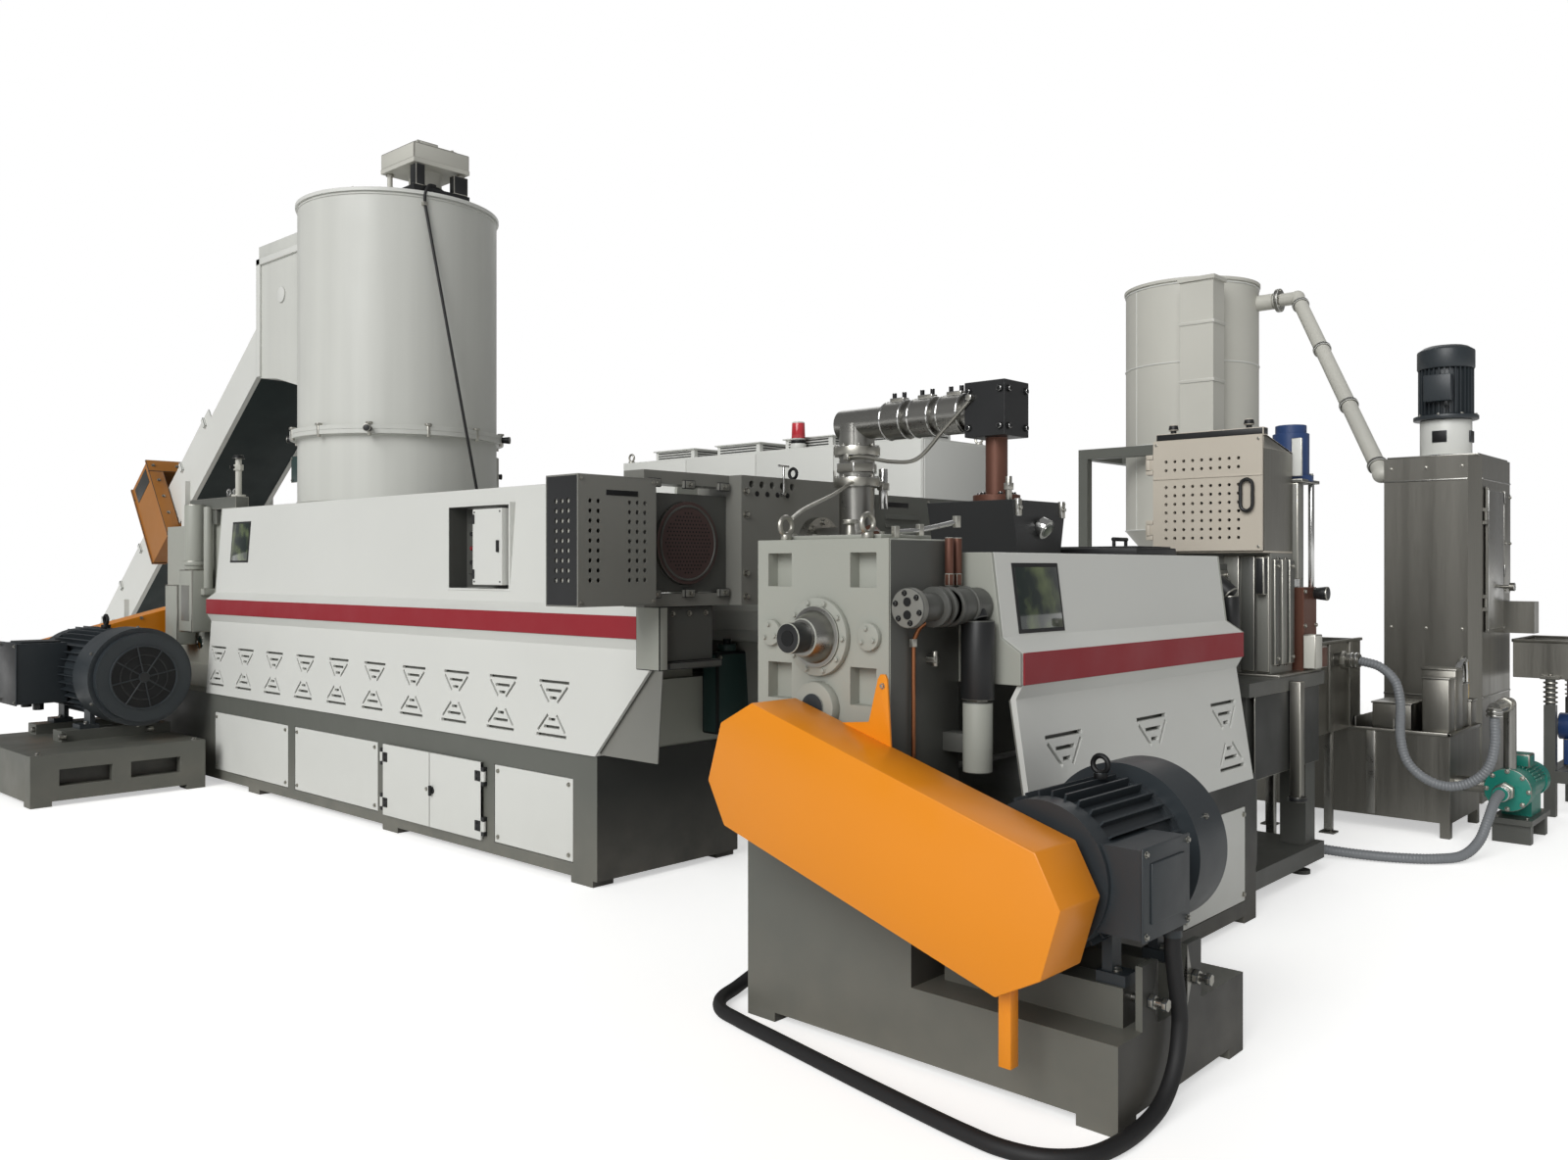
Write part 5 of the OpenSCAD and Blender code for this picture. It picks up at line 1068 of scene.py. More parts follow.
        # Terminal box lid, gland, lifting eye, bearing cap and the grille of the fan cowl
        m.box(-1086, -814, -1097, -1089, 506, 746, 4)
        m.box(-1046, -854, -1103, -1096, 548, 704, 5)
        m.use("zinc").bolts((-1070, -830), -1097, (522, 730), -Y, 7)
        m.use("nylon").bar_z(512, 492, -855, -1066, 31, sides=6)
        m.use("black_oxide").bar_z(848, 866, -760, -806, 20)
        m.ring((-760, -806, 890), X, 24, 8)
        m.use("slate_paint").bar_x(-1095, -1108, *shaft, 120, edge=3)
        for r in (70, 110, 150, 190):
            m.ring((-433, *shaft), X, r, 5, 40)
        # The black disc behind the grille rings is painted shade inside the fan cowl
        m.use("black_oxide").bar_x(-436, -434, *shaft, 205)
        m.use("slate_paint").spider((-432, *shaft), Y, Z, 205, 4)
        m.use("zinc").bolts((-920, -649), (-939, -673), 370, Z, 12)
        for x in (-911, -641):
            m.bar_y(-1031, -1047, x, 305, 22, sides=6, edge=2)
            m.bar_y(-1068, -1082, x, 305, 19, sides=6, edge=2)
            m.bar_y(-1011, -995, x, 305, 22, sides=6, edge=2)
        for k in range(3):
            a = 0.6 + 2 * math.pi * k / 3
            out = Vector((0, math.cos(a), math.sin(a)))
            m.bolt(Vector((-560, *shaft)) + out * 247, out, 7)
        m.made()


class LINE_OT_first_drive(bpy.types.Operator):
    """Fit the first motor, its base, the first gearbox and its belt guard"""

    bl_idname = "line.first_drive"
    bl_label = "First drive"

    def execute(self, context):
        m = Fitting("first_motor_fittings", "slate_paint")
        shaft = (-900, 740)
        # Cross members inside the base, darkened as painted shade behind its slots
        m.use("painted_shade_and_seam").box(-1570, -600, 5880, 5888, 60, 306, 1)
        m.box(-1530, -1522, 5890, 7070, 60, 306, 1)
        # Fan grille, terminal box lid, lifting eye and foot bolts
        # The black disc behind the grille is painted shade inside the fan cowl
        m.use("black_oxide").bar_y(5956, 5953, *shaft, 205, sides=48, edge=0)
        m.use("slate_paint").ring((-900, 5952, 740), Y, 205, 7, 48)
        m.use("black_paint")
        for r in (85, 145):
            m.ring((-900, 5952, 740), Y, r, 4, 48)
        m.spider((-900, 5951, 740), X, Z, 205, 5, start=0.2)
        m.bar_y(5956, 5944, *shaft, 34, edge=3)
        m.box(-1448, -1438, 6637, 6993, 542, 958, 5)
        m.box(-1400, -1160, 6700, 6930, 949, 962, 4)
        m.use("zinc").bolts(-1448, (6660, 6970), (565, 935), -X, 9)
        for y in (6690, 6940):
            m.use("nylon").bar_z(552, 505, -1300, y, 34, sides=6)
        m.use("black_oxide").bar_z(1036, 1062, -900, 6640, 30)
        m.ring((-900, 6640, 1094), X, 32, 11)
        m.use("zinc").bolts((-1086, -714), (6447, 6960), 416, Z, 15)
        for x in (-1240, -700):
            for y in (6350, 6900):
                m.bar_x(x, x - 40, y, 351, 20, sides=6)
        m.bolts((-1545, -625), (5860, 7050), 316, Z, 14)
        for k in range(6):
            a = math.pi * (2 * k + 1) / 6
            out = Vector((math.cos(a), 0, math.sin(a)))
            m.bolt(Vector((-900, 6060, 740)) + out * 322, out, 9)
        m.made()
        g = Fitting("first_gearbox_fittings", "zinc")
        g.bolt_circle((0, 6130, 1550), -Y, 158, 10, 12)
        for s in (-1, 1):
            for y in (6180, 6480, 6800, 7110):
                g.use("zinc").bolt((s * 300, y, 1180), X * s, 13)
                g.bolt((s * 300, y, 1240), X * s, 13)
            g.use("painted_shade_and_seam").box(s * 300 - 2, s * 300 + 2, 6131, 7154, 1206, 1212, 0)
            g.use("chrome").ring((s * 270, 6640, 910), X, 46, 6)
            g.use("window").bar_x(s * 268, s * 272, 6640, 910, 42)
        g.use("casting_paint").box(-210, 210, 6260, 7000, 1756, 1784, 5)
        g.use("zinc").bolts((-185, 185), (6290, 6630, 6970), 1784, Z, 12)
        g.use("black_oxide")
        for y in (6200, 7090):
            g.bar_z(1758, 1780, 0, y, 28)
            g.ring((0, y, 1812), X, 32, 11)
        # Oil cooler columns, their housing and the beam over the end of the cover
        g.use("casting_paint").box(-450, -298, 6330, 6560, 1000, 1440, 8)
        g.use("block_paint").box(-453, -449, 6375, 6510, 1080, 1330, 3)
        g.use("casting_paint").bar_z(1440, 1900, -380, 6440, 72, edge=5)
        g.bar_z(1470, 1500, -380, 6440, 84, edge=3)
        g.bar_z(1300, 1880, -350, 6300, 30)
        g.box(-390, -298, 6270, 6330, 1260, 1310, 4)
        g.box(-430, -298, 6640, 6860, 900, 1330, 8)
        g.use("grey_paint").box(-340, -250, 5880, 6640, 1861, 1941, 4)
        g.box(-330, -260, 6210, 6280, 1758, 1862, 3)
        g.box(-330, -260, 6540, 6610, 1758, 1862, 3)
        g.use("pale_paint").bar_z(1940, 2200, -300, 5925, 20)
        g.bar_z(1940, 1954, -300, 5925, 46)
        g.bar_z(2120, 2160, -300, 5925, 32, sides=6)
        g.use("black_oxide").bar_x(-300, -360, 5925, 2140, 9)
        g.bar_z(2200, 2225, -300, 5925, 42, 30)
        g.use("chrome")
        for y in (5990, 6090):
            g.ring((-295, y, 1972), X, 24, 7)
        g.use("zinc").bolt_circle((0, 7215, 970), Y, 118, 8, 12)
        g.bolt_circle((0, 7195, 1550), Y, 116, 8, 12)
        # Bolts round the edge of the belt guard
        upper = ((-120, 205), (200, 215), (520, 215), (840, 215))
        for along, up in (*upper, *[(along, -up) for along, up in upper]):
            x, z = leaning(shaft, math.atan2(230, 900), along, up)
            g.bolt((x, 7455, z), Y, 10)
            g.bolt((x, 7255, z), -Y, 10)
        g.made()
        return {"FINISHED"}


class LINE_OT_compactor(bpy.types.Operator):
    """Fit the compactor: flange clamps, seams, lid unit, cable and drive"""

    bl_idname = "line.compactor"
    bl_label = "Compactor"

    def execute(self, context):
        c = Fitting("compactor_fittings", "zinc")
        middle = Vector((650, 5470, 0))

        def around(angle, radius, z):
            return middle + Vector((radius * math.cos(angle), radius * math.sin(angle), z))

        for k in range(12):
            a = math.radians(15 + 30 * k)
            c.use("zinc").rod(around(a, 722, 2325), around(a, 722, 2415), 13)
            c.rod(around(a, 722, 2400), around(a, 722, 2416), 24, sides=6, edge=2)
            if k % 3 == 1:
                c.use("nylon").rod(around(a, 728, 2370), around(a, 790, 2370), 20, 26, edge=4)
        # Weld seam at the back and the rolled edges of the drum
        c.use("drum_paint")
        a = math.radians(80)
        c.rod(around(a, 680, 2402), around(a, 680, 3948), 3.5, sides=8, edge=0)
        for z in (1905, 3935):
            c.ring(around(0, 0, z), Z, 681, 6, 96)
        # Inspection door on the bowl, toward the walkway
        door = math.radians(-20)
        for half, out in ((0.2, 690), (0.17, 698)):
            arc = [around(door + a, 660, 0) for a in spaced(-half, half, 9)]
            arc += [around(door + a, out, 0) for a in spaced(half, -half, 9)]
            c.prism([(p.x, p.y) for p in arc], "z", 2020 - half * 100, 2240 + half * 100, 2)
        c.use("nylon").rod(around(door, 698, 2130), around(door, 740, 2130), 16, 22, edge=3)
        # Lid: bolts, hatch handles and hinges
        c.use("zinc")
        for k in range(16):
            c.bolt(around(2 * math.pi * (k + 0.5) / 16, 662, 3975), Z, 10)
        for x in (480, 820):
            c.use("black_oxide")
            for y in (5560, 5660):
                c.bar_z(4008, 4044, x, y, 7)
            c.bar_y(5552, 5668, x, 4044, 8)
            c.use("zinc").box(x - 40, x + 40, 5944, 5962, 3975, 4016, 3)
        # Lid unit: column feet, nuts, side covers, block and cap
        for x in (430, 770):
            for y in (4870, 5210):
                c.use("black_oxide").bar_z(4014, 4028, x, y, 34)
                c.use("zinc").bar_z(4195, 4212, x, y, 28, sides=6, edge=2)
                c.bar_z(4148, 4165, x, y, 28, sides=6, edge=2)
        c.use("black_paint").box(400, 470, 4822, 4900, 4015, 4160, 5)
        c.box(690, 800, 4822, 4880, 4015, 4140, 5)
        c.use("pale_paint").box(386, 814, 4826, 5254, 4190, 4300, 8)
        c.box(500, 660, 4970, 5110, 4318, 4372, 6)
        c.use("black_oxide").bar_z(4372, 4386, 580, 5040, 26)
        c.use("zinc").bolts((470, 730), (4910, 5170), 4325, Z, 11)
        c.use("black_paint").bar_z(4020, 4060, 600, 5040, 128, edge=4)
        dress("lid_unit", "black_paint", lambda p, n: p.z < 4014)
        # Taut cable down the drum, on a bracket from the deck
        c.use("black_rubber").rod((457, 4806, 3890), (762, 4628, 1890), 10, sides=12)
        c.wire([(560, 4850, 4040), (490, 4812, 4020), (458, 4804, 3960), (457, 4806, 3885)], 10)
        c.use("zinc").box(441, 473, 4794, 4830, 3878, 3902, 2)
        c.use("grey_paint").box(738, 786, 4610, 4792, 1862, 1878, 3)
        c.use("zinc").bar_z(1878, 1902, 762, 4628, 20, sides=6)
        # Drive of the compactor: flange bolts, cowl grille and lid of the terminal box
        drive = (730, 6530)
        c.bolt_circle((*drive, 1940), Z, 228, 10, 14)
        c.use("green_paint")
        for r in (60, 110, 160, 205):
            c.ring((*drive, 2581), Z, r, 5, 40)
        c.spider((*drive, 2582), X, Y, 205, 4, sides=8)
        c.box(404, 412, 6434, 6626, 2104, 2306, 3)
        c.use("zinc").bolts(404, (6450, 6610), (2122, 2288), -X, 8)
        # Foot plates of the deck's posts and their bolts
        c.use("grey_paint")
        for x in (480, 1180):
            for y in (4790, 5760, 6730):
                c.box(x - 20, x + 140, y - 20, y + 140, 0, 16, 3)
        c.use("zinc").bolts((474, 1306), (4835, 5805, 6775), 12, Z, 13)
        c.made()
        return {"FINISHED"}


class LINE_OT_belt(bpy.types.Operator):
    """Fit the feed belt, the metal detector and the hood"""

    bl_idname = "line.belt"
    bl_label = "Feed belt"

    def execute(self, context):
        # Drawn level, then tilted about the head pulley: x across, y down the run, z square to the belt
        tilt = Matrix.Translation((650, 6820, 3300)) @ Matrix.Rotation(math.radians(-36.4), 4, "X")
        b = Fitting("feed_belt_fittings", "belt_sheet")
        b.box(-300, 300, 330, 4250, -166, -160, 1)
        for y in spaced(500, 3900, 12):
            b.use("belt_sheet").box(-235, 235, y, y + 8, 77, 108, 2)
        for side in (-1, 1):
            face = side * 338
            # Tail bearing on its take-up slide
            b.use("slate_paint").box(face, face + side * 46, 4240, 4380, -60, 60, 8)
            b.bar_x(face + side * 46, face + side * 60, 4300, 0, 44, edge=4)
            b.use("zinc").bar_y(4240, 4010, face + side * 22, 0, 10)
            b.bar_y(4030, 4010, face + side * 22, 0, 18, sides=6)
            b.use("white_paint").box(face, face + side * 20, 3990, 4012, -40, 40, 2)
            for y in spaced(1300, 4200, 6):
                b.use("white_paint").box(face - side * 2, face + side * 18, y, y + 40, 140, 226, 3)
        b.use("zinc")
        for y in spaced(700, 3900, 5):
            b.bar_x(-298, 298, y, -95, 24)
        # Detector: rims of the tunnel, joints, control box and clamps
        b.use("detector_paint")
        for y in (2222, 2638):
            b.box(-470, 470, y, y + 20, 402, 528, 4)
            b.box(-470, -346, y, y + 20, -298, 402, 4)
            b.box(346, 470, y, y + 20, -298, 402, 4)
        # Dark plates set into both sides are painted shade
        b.use("painted_shade_and_seam")
        for side in (-1, 1):
            b.box(side * 458, side * 461, 2290, 2590, 330, 480, 3)
        b.use("pale_paint").box(-250, 50, 2300, 2560, 519, 560, 6)
        b.use("zinc")
        for x in (-420, -220, 220, 420):
            b.bolt((x, 2222, 465), -Y, 12)
            b.bolt((x, 2658, 465), Y, 12)
        for side in (-1, 1):
            for z in (-240, -60, 120, 300):
                b.bolt((side * 408, 2222, z), -Y, 12)
                b.bolt((side * 408, 2658, z), Y, 12)
        b.made(turn=tilt)
        h = Fitting("hood_fittings", "white_paint")
        # Folded edges, inspection port and curtain of the hood
        for side in (-1, 1):
            x0, x1 = 650 + side * 350, 650 + side * 368
            h.use("white_paint").box(x0, x1, 6900, 6960, 2936, 3848, 3)
            h.box(x0, x1, 6100, 6960, 3800, 3848, 3)
            h.bar_x(x0, x0 + side * 12, 6560, 3520, 60, edge=4)
        # Raised cap between the drum and the belt
        h.use("drum_paint").box(302, 998, 6200, 6956, 3846, 3950, 5)
        h.use("black_rubber")
        for k in range(9):
            x = 330 + 72 * k
            h.box(x, x + 68, 6946, 6951, 3420, 3836, 1)
        # Foot bolts of the legs
        h.use("zinc")
        for y in (8325, 9722):
            for x in (300, 1000):
                h.bolts((x - 45, x + 45), (y - 55, y + 55), 12, Z, 9)
        h.made()
        return {"FINISHED"}


class LINE_OT_pelletizer(bpy.types.Operator):
    """Fit the pelletizer: die, cutter, perforated cage and its drive"""

    bl_idname = "line.pelletizer"
    bl_label = "Pelletizer"

    def execute(self, context):
        self.cage()
        self.door()
        p = Fitting("pelletizer_fittings", "zinc")
        # Die block: bolts, heater plates with their terminals, and the slide cylinder
        p.use("black_oxide").bolts(1210, (-200, 200), (1000, 1120, 1320, 1435), -X, 13)
        p.use("bright_steel").box(1240, 1470, -246, -229, 1000, 1440, 4)
        p.box(1250, 1330, -262, -245, 1040, 1400, 4)
        p.box(1380, 1460, -262, -245, 1040, 1400, 4)
        p.use("zinc").bolts((1258, 1452), -246, (1020, 1220, 1420), -Y, 9)
        p.use("black_paint").rod((1290, -262, 1390), (1290, -330, 1330), 44, edge=5)
        p.rod((1290, -330, 1330), (1290, -336, 1180), 36, edge=4)
        p.use("chrome").bar_z(1180, 1060, 1290, -336, 15)
        p.use("zinc").bolt_circle((1560, 0, 1221), -X, 134, 10, 11)
        # Cutter housing: plates, joint and clamp screws
        for x, finish in ((1630, "dark_steel"), (1720, "block_paint"), (1810, "dark_steel")):
            p.use(finish).box(x, x + 58, -396, -379, 1010, 1490, 4)
        p.use("black_oxide")
        for x in (1692, 1782):
            p.box(x, x + 24, -385, -378, 1000, 1500, 1)
        for y0, y1, finish in (
            (-378, -320, "block_paint"),
            (-312, -250, "dark_steel"),
            (-240, -170, "block_paint"),
        ):
            p.use(finish).box(1602, 1622, y0, y1, 980, 1506, 4)
        p.use("black_paint").box(1560, 1606, -372, -330, 1330, 1500, 5)
        p.use("zinc").bolts((1661, 1841), -396, (1040, 1460), -Y, 9)
        p.use("stainless").box(1650, 1706, -500, -452, 420, 940, 4)
        p.use("nylon").bar_z(400, 420, 1680, -476, 40)
        # Stand: sheet infill darkened as painted shade inside the stand, foot nuts and a drip tray
        p.use("painted_shade_and_seam").box(1242, 1248, -300, 260, 150, 900, 2)
        p.box(1270, 2040, -446, -440, 540, 900, 2)
        p.use("zinc")
        for x in (1290, 2010):
            for y in (-370, 320):
                p.bar_z(40, 56, x, y, 24, sides=6, edge=2)
        p.use("stainless").box(1560, 2090, -440, 380, 958, 972, 3)
        # Drive: cover plate, gear head, knob and small housings
        p.use("block_paint").box(1886, 1950, -404, -330, 1400, 1850, 5)
        p.use("white_paint").box(1890, 1902, -420, -372, 1880, 2060, 3)
        p.use("dark_steel").box(1884, 2116, -424, -236, 1852, 1868, 3)
        p.use("blue_paint").bar_z(1660, 1960, 1930, -200, 64, edge=5)
        p.bar_z(1960, 2010, 1930, -200, 56, 48, edge=5)
        p.use("slate_paint").bar_z(1640, 1660, 1930, -200, 76)
        p.use("chrome").bar_z(1380, 1640, 1930, -200, 24)
        p.bar_z(1360, 1850, 2070, -400, 14)
        p.use("black_paint").bar_y(-420, -486, 2050, 1330, 26, 34, edge=5)
        p.use("pale_paint").box(1900, 1990, -480, -421, 980, 1140, 5)
        p.use("brown_steel").box(2000, 2090, -470, -421, 980, 1080, 5)
        p.use("zinc").bolts((1930, 2070), -420, (1000, 1180, 1340), -Y, 9)
        p.bolt_circle((2000, -330, 1890), Z, 90, 6, 9)
        p.made()

        def column(q, n):
            return abs(q.x - 2000) < 44 and abs(q.y + 330) < 44 and 1361 < q.z < 1859

        dress("cutter_drive", "chrome", column)
        dress("cutter_drive", "brown_steel", lambda q, n: q.z < 1361 and q.y < -239)
        dress("cutter_drive", "dark_steel", lambda q, n: q.z < 1361 and q.y > -239)
        return {"FINISHED"}

    def cage(self):
        """The cage over the cutter: three perforated walls and a slanted perforated top."""
        c = Fitting("cutter_cage_sheet", "beige_sheet")
        for finish, corner, across, up, columns, rows, holed in (
            ("stainless", (1540, -380, 1528), (340, 0, 0), (0, 0, 462), 8, 11, ()),
            ("beige_sheet", (1880, 140, 1528), (-340, 0, 0), (0, 0, 462), 8, 11, range(1, 7)),
            ("beige_sheet", (1880, -372, 1528), (0, 504, 0), (0, 0, 462), 12, 11, range(1, 11)),
            ("beige_sheet", (1580, -380, 2050), (300, 0, -60), (0, 520, 0), 7, 12, (1, 2)),
        ):
            holes = cells(holed, range(1, rows - 1))
            c.use(finish).sheet(corner, across, up, columns, rows, 8, 11, holes)
        c.box(1540, 1581, -380, 140, 2042, 2050, 1)
        c.box(1540, 1880, -380, 140, 1520, 1528, 1)
        for y, finish in ((-380, "stainless"), (132, "beige_sheet")):
            c.use(finish).prism([(1540, 1990), (1880, 1990), (1580, 2049), (1540, 2049)], "y", y, y + 8, 1)
        for z in (1630, 1940):
            c.use("black_oxide").bar_z(z - 47, z + 47, 1526, 164, 7.8)
            for s in (-37, 37):
                c.use("beige_sheet").box(1518, 1560, 140, 174, z + s - 10, z + s + 10, 1)
        # Dark bar with its two knobs along the upper edge, and the cutter motor inside
        c.use("black_paint").box(1545, 1600, -376, 136, 2050, 2086, 4)
        for y in (-300, 60):
            c.use("nylon").bar_z(2086, 2100, 1572, y, 13)
            c.bar_z(2100, 2128, 1572, y, 24, 19, edge=4)
        cutter = (1720, -120)
        c.use("slate_paint").bar_z(1528, 1860, *cutter, 96, edge=6)
        c.bar_z(1860, 1900, *cutter, 84, 70, edge=6)
        c.use("zinc").bar_z(1528, 1550, *cutter, 120)
        c.made(slot="beige_sheet", replaces=["cutter_cage"])

    def door(self):
        """The perforated leaf of the cage, with knuckles and a black pull."""
        d = Fitting("cage_door_sheet", "beige_sheet")
        two_bands = cells(range(1, 10), (*range(1, 8), 9, 10))
        d.sheet((1520, 138, 1530), (0, -518, 0), (0, 0, 520), 12, 13, 12, 8, two_bands)
        d.box(1516, 1521, -380, 138, 1867, 1873, 1)
        for z in (1630, 1940):
            d.use("beige_sheet").bar_z(z - 25, z + 25, 1526, 164, 14)
            d.box(1521, 1531, 100, 160, z - 24, z + 24, 1)
        half = ((0, 72), (-23, 58), (-27, 0), (-23, -58))
        loop = [(1504, -315 + turn * a, 1780 + turn * b) for turn in (1, -1) for a, b in half]
        d.use("nylon").wire([*loop, loop[0]], 8)
        for z in (1708, 1852):
            d.bar_x(1520, 1504, -315, z, 8)
        d.use("zinc")
        for y in (-364, 122):
            for z in (1548, 2032):
                d.bar_x(1520, 1516, y, z, 7, sides=12, edge=0.8)
        d.made("cage_door", slot="beige_sheet", replaces=["cage_door"])


class LINE_OT_water(bpy.types.Operator):
    """Fit the water tank, trough, pump and hose ends"""

    bl_idname = "line.water"
    bl_label = "Water section"

    def execute(self, context):
        w = Fitting("water_fittings", "stainless")
        # Rim of the tank, filter boxes and partitions on it
        for x in (3262, 3866):
            w.box(x, x + 22, -708, 508, 548, 566, 3)
        for y in (-708, 486):
            w.box(3262, 3888, y, y + 22, 548, 566, 3)
        for x0, x1, y0, y1, z in (
            (3290, 3400, -690, -560, 850),
            (3425, 3570, -690, -520, 890),
            (3600, 3720, -680, -480, 800),
            (3740, 3850, -690, -540, 700),
            (3300, 3560, -500, -300, 700),
        ):
            w.use("stainless").box(x0, x1, y0, y1, 540, z, 4)
            w.use("bright_steel").box(x0 - 6, x1 + 6, y0 - 6, y1 + 6, z, z + 10, 3)
        w.use("bright_steel")
        for y in (-420, -220):
            w.box(3278, 3872, y, y + 6, 300, 620, 1)
        for y in (-330, 110):
            w.box(3256, 3272, y, y + 50, 90, 550, 3)
        bow = ((3650, 800), (3650, 900), (3700, 930), (3780, 930), (3800, 880), (3800, 702))
        w.use("chrome").wire([(x, -650, z) for x, z in bow], 16)
        w.bar_z(820, 850, 3650, -650, 26, sides=6)
        # Trough: rim, ribs and legs down to the stand
        w.use("stainless")
        for y in (-212, 190):
            w.box(2100, 3420, y, y + 22, 1040, 1056, 3)
        for x in (2240, 2560, 2880, 3200):
            w.box(x, x + 40, -214, -199, 570, 1040, 3)
            w.box(x, x + 40, 199, 214, 570, 1040, 3)
        w.use("bright_steel").box(2110, 2400, -180, 180, 1050, 1062, 3)
        for x in (2180, 3000):
            for y in (-180, 140):
                w.box(x, x + 40, y, y + 40, 0, 562, 3)
                w.box(x - 20, x + 60, y - 20, y + 60, 0, 10, 2)
        # Hose ends: bright clamps and nuts
        shaft = (-960, 290)
        w.use("chrome")
        for y in (-322, -300):
            w.bar_y(y, y + 12, 3000, 952, 44, edge=2)
        w.use("zinc").bar_y(-262, -232, 3000, 952, 50, sides=6, edge=3)
        w.use("chrome")
        for z in (708, 730):
            w.bar_z(z, z - 10, 3050, -960, 39, edge=2)
        for x in (3172, 3196):
            w.bar_x(x, x + 12, *shaft, 42, edge=2)
        w.use("zinc").bar_x(3240, 3276, *shaft, 50, sides=6, edge=3)
        w.bar_x(3250, 3286, -960, 740, 42, sides=6, edge=3)
        # Pump: flange, casing bolts, fins, terminal box, fan cowl and foot bolts
        w.use("teal_paint").bar_x(3318, 3332, *shaft, 112, edge=3)
        w.use("zinc").bolt_circle((3318, *shaft), -X, 98, 8, 10)
        w.bolt_circle((3420, *shaft), X, 92, 8, 9)
        w.use("teal_paint")
        for k in range(14):
            a = math.radians(20 + k * 140 / 13)
            spoke, core = Vector((0, math.cos(a), math.sin(a))), Vector((3635, *shaft))
            w.rod(core + spoke * 90, core + spoke * 100, 6, sides=8)
            y, z = shaft[0] + 92 * math.cos(a), shaft[1] + 92 * math.sin(a)
            w.box(3530, 3760, y - 3, y + 3, z - 3, z + 8, 1)
        w.box(3580, 3700, -1010, -910, 378, 450, 8)
        for r in (35, 60, 85):
            w.ring((3851, *shaft), X, r, 4, 36)
        # The black disc behind the grille rings is painted shade inside the fan cowl
        w.use("black_oxide").bar_x(3848, 3852, *shaft, 88)
        w.use("zinc").bolts((3420, 3770), (-1030, -890), 130, Z, 9)
        w.made()
        dress("water_pump", "bright_steel", lambda p, n: p.z > 402)
        dress("water_pump", "dark_steel", lambda p, n: p.z < 131)
        return {"FINISHED"}


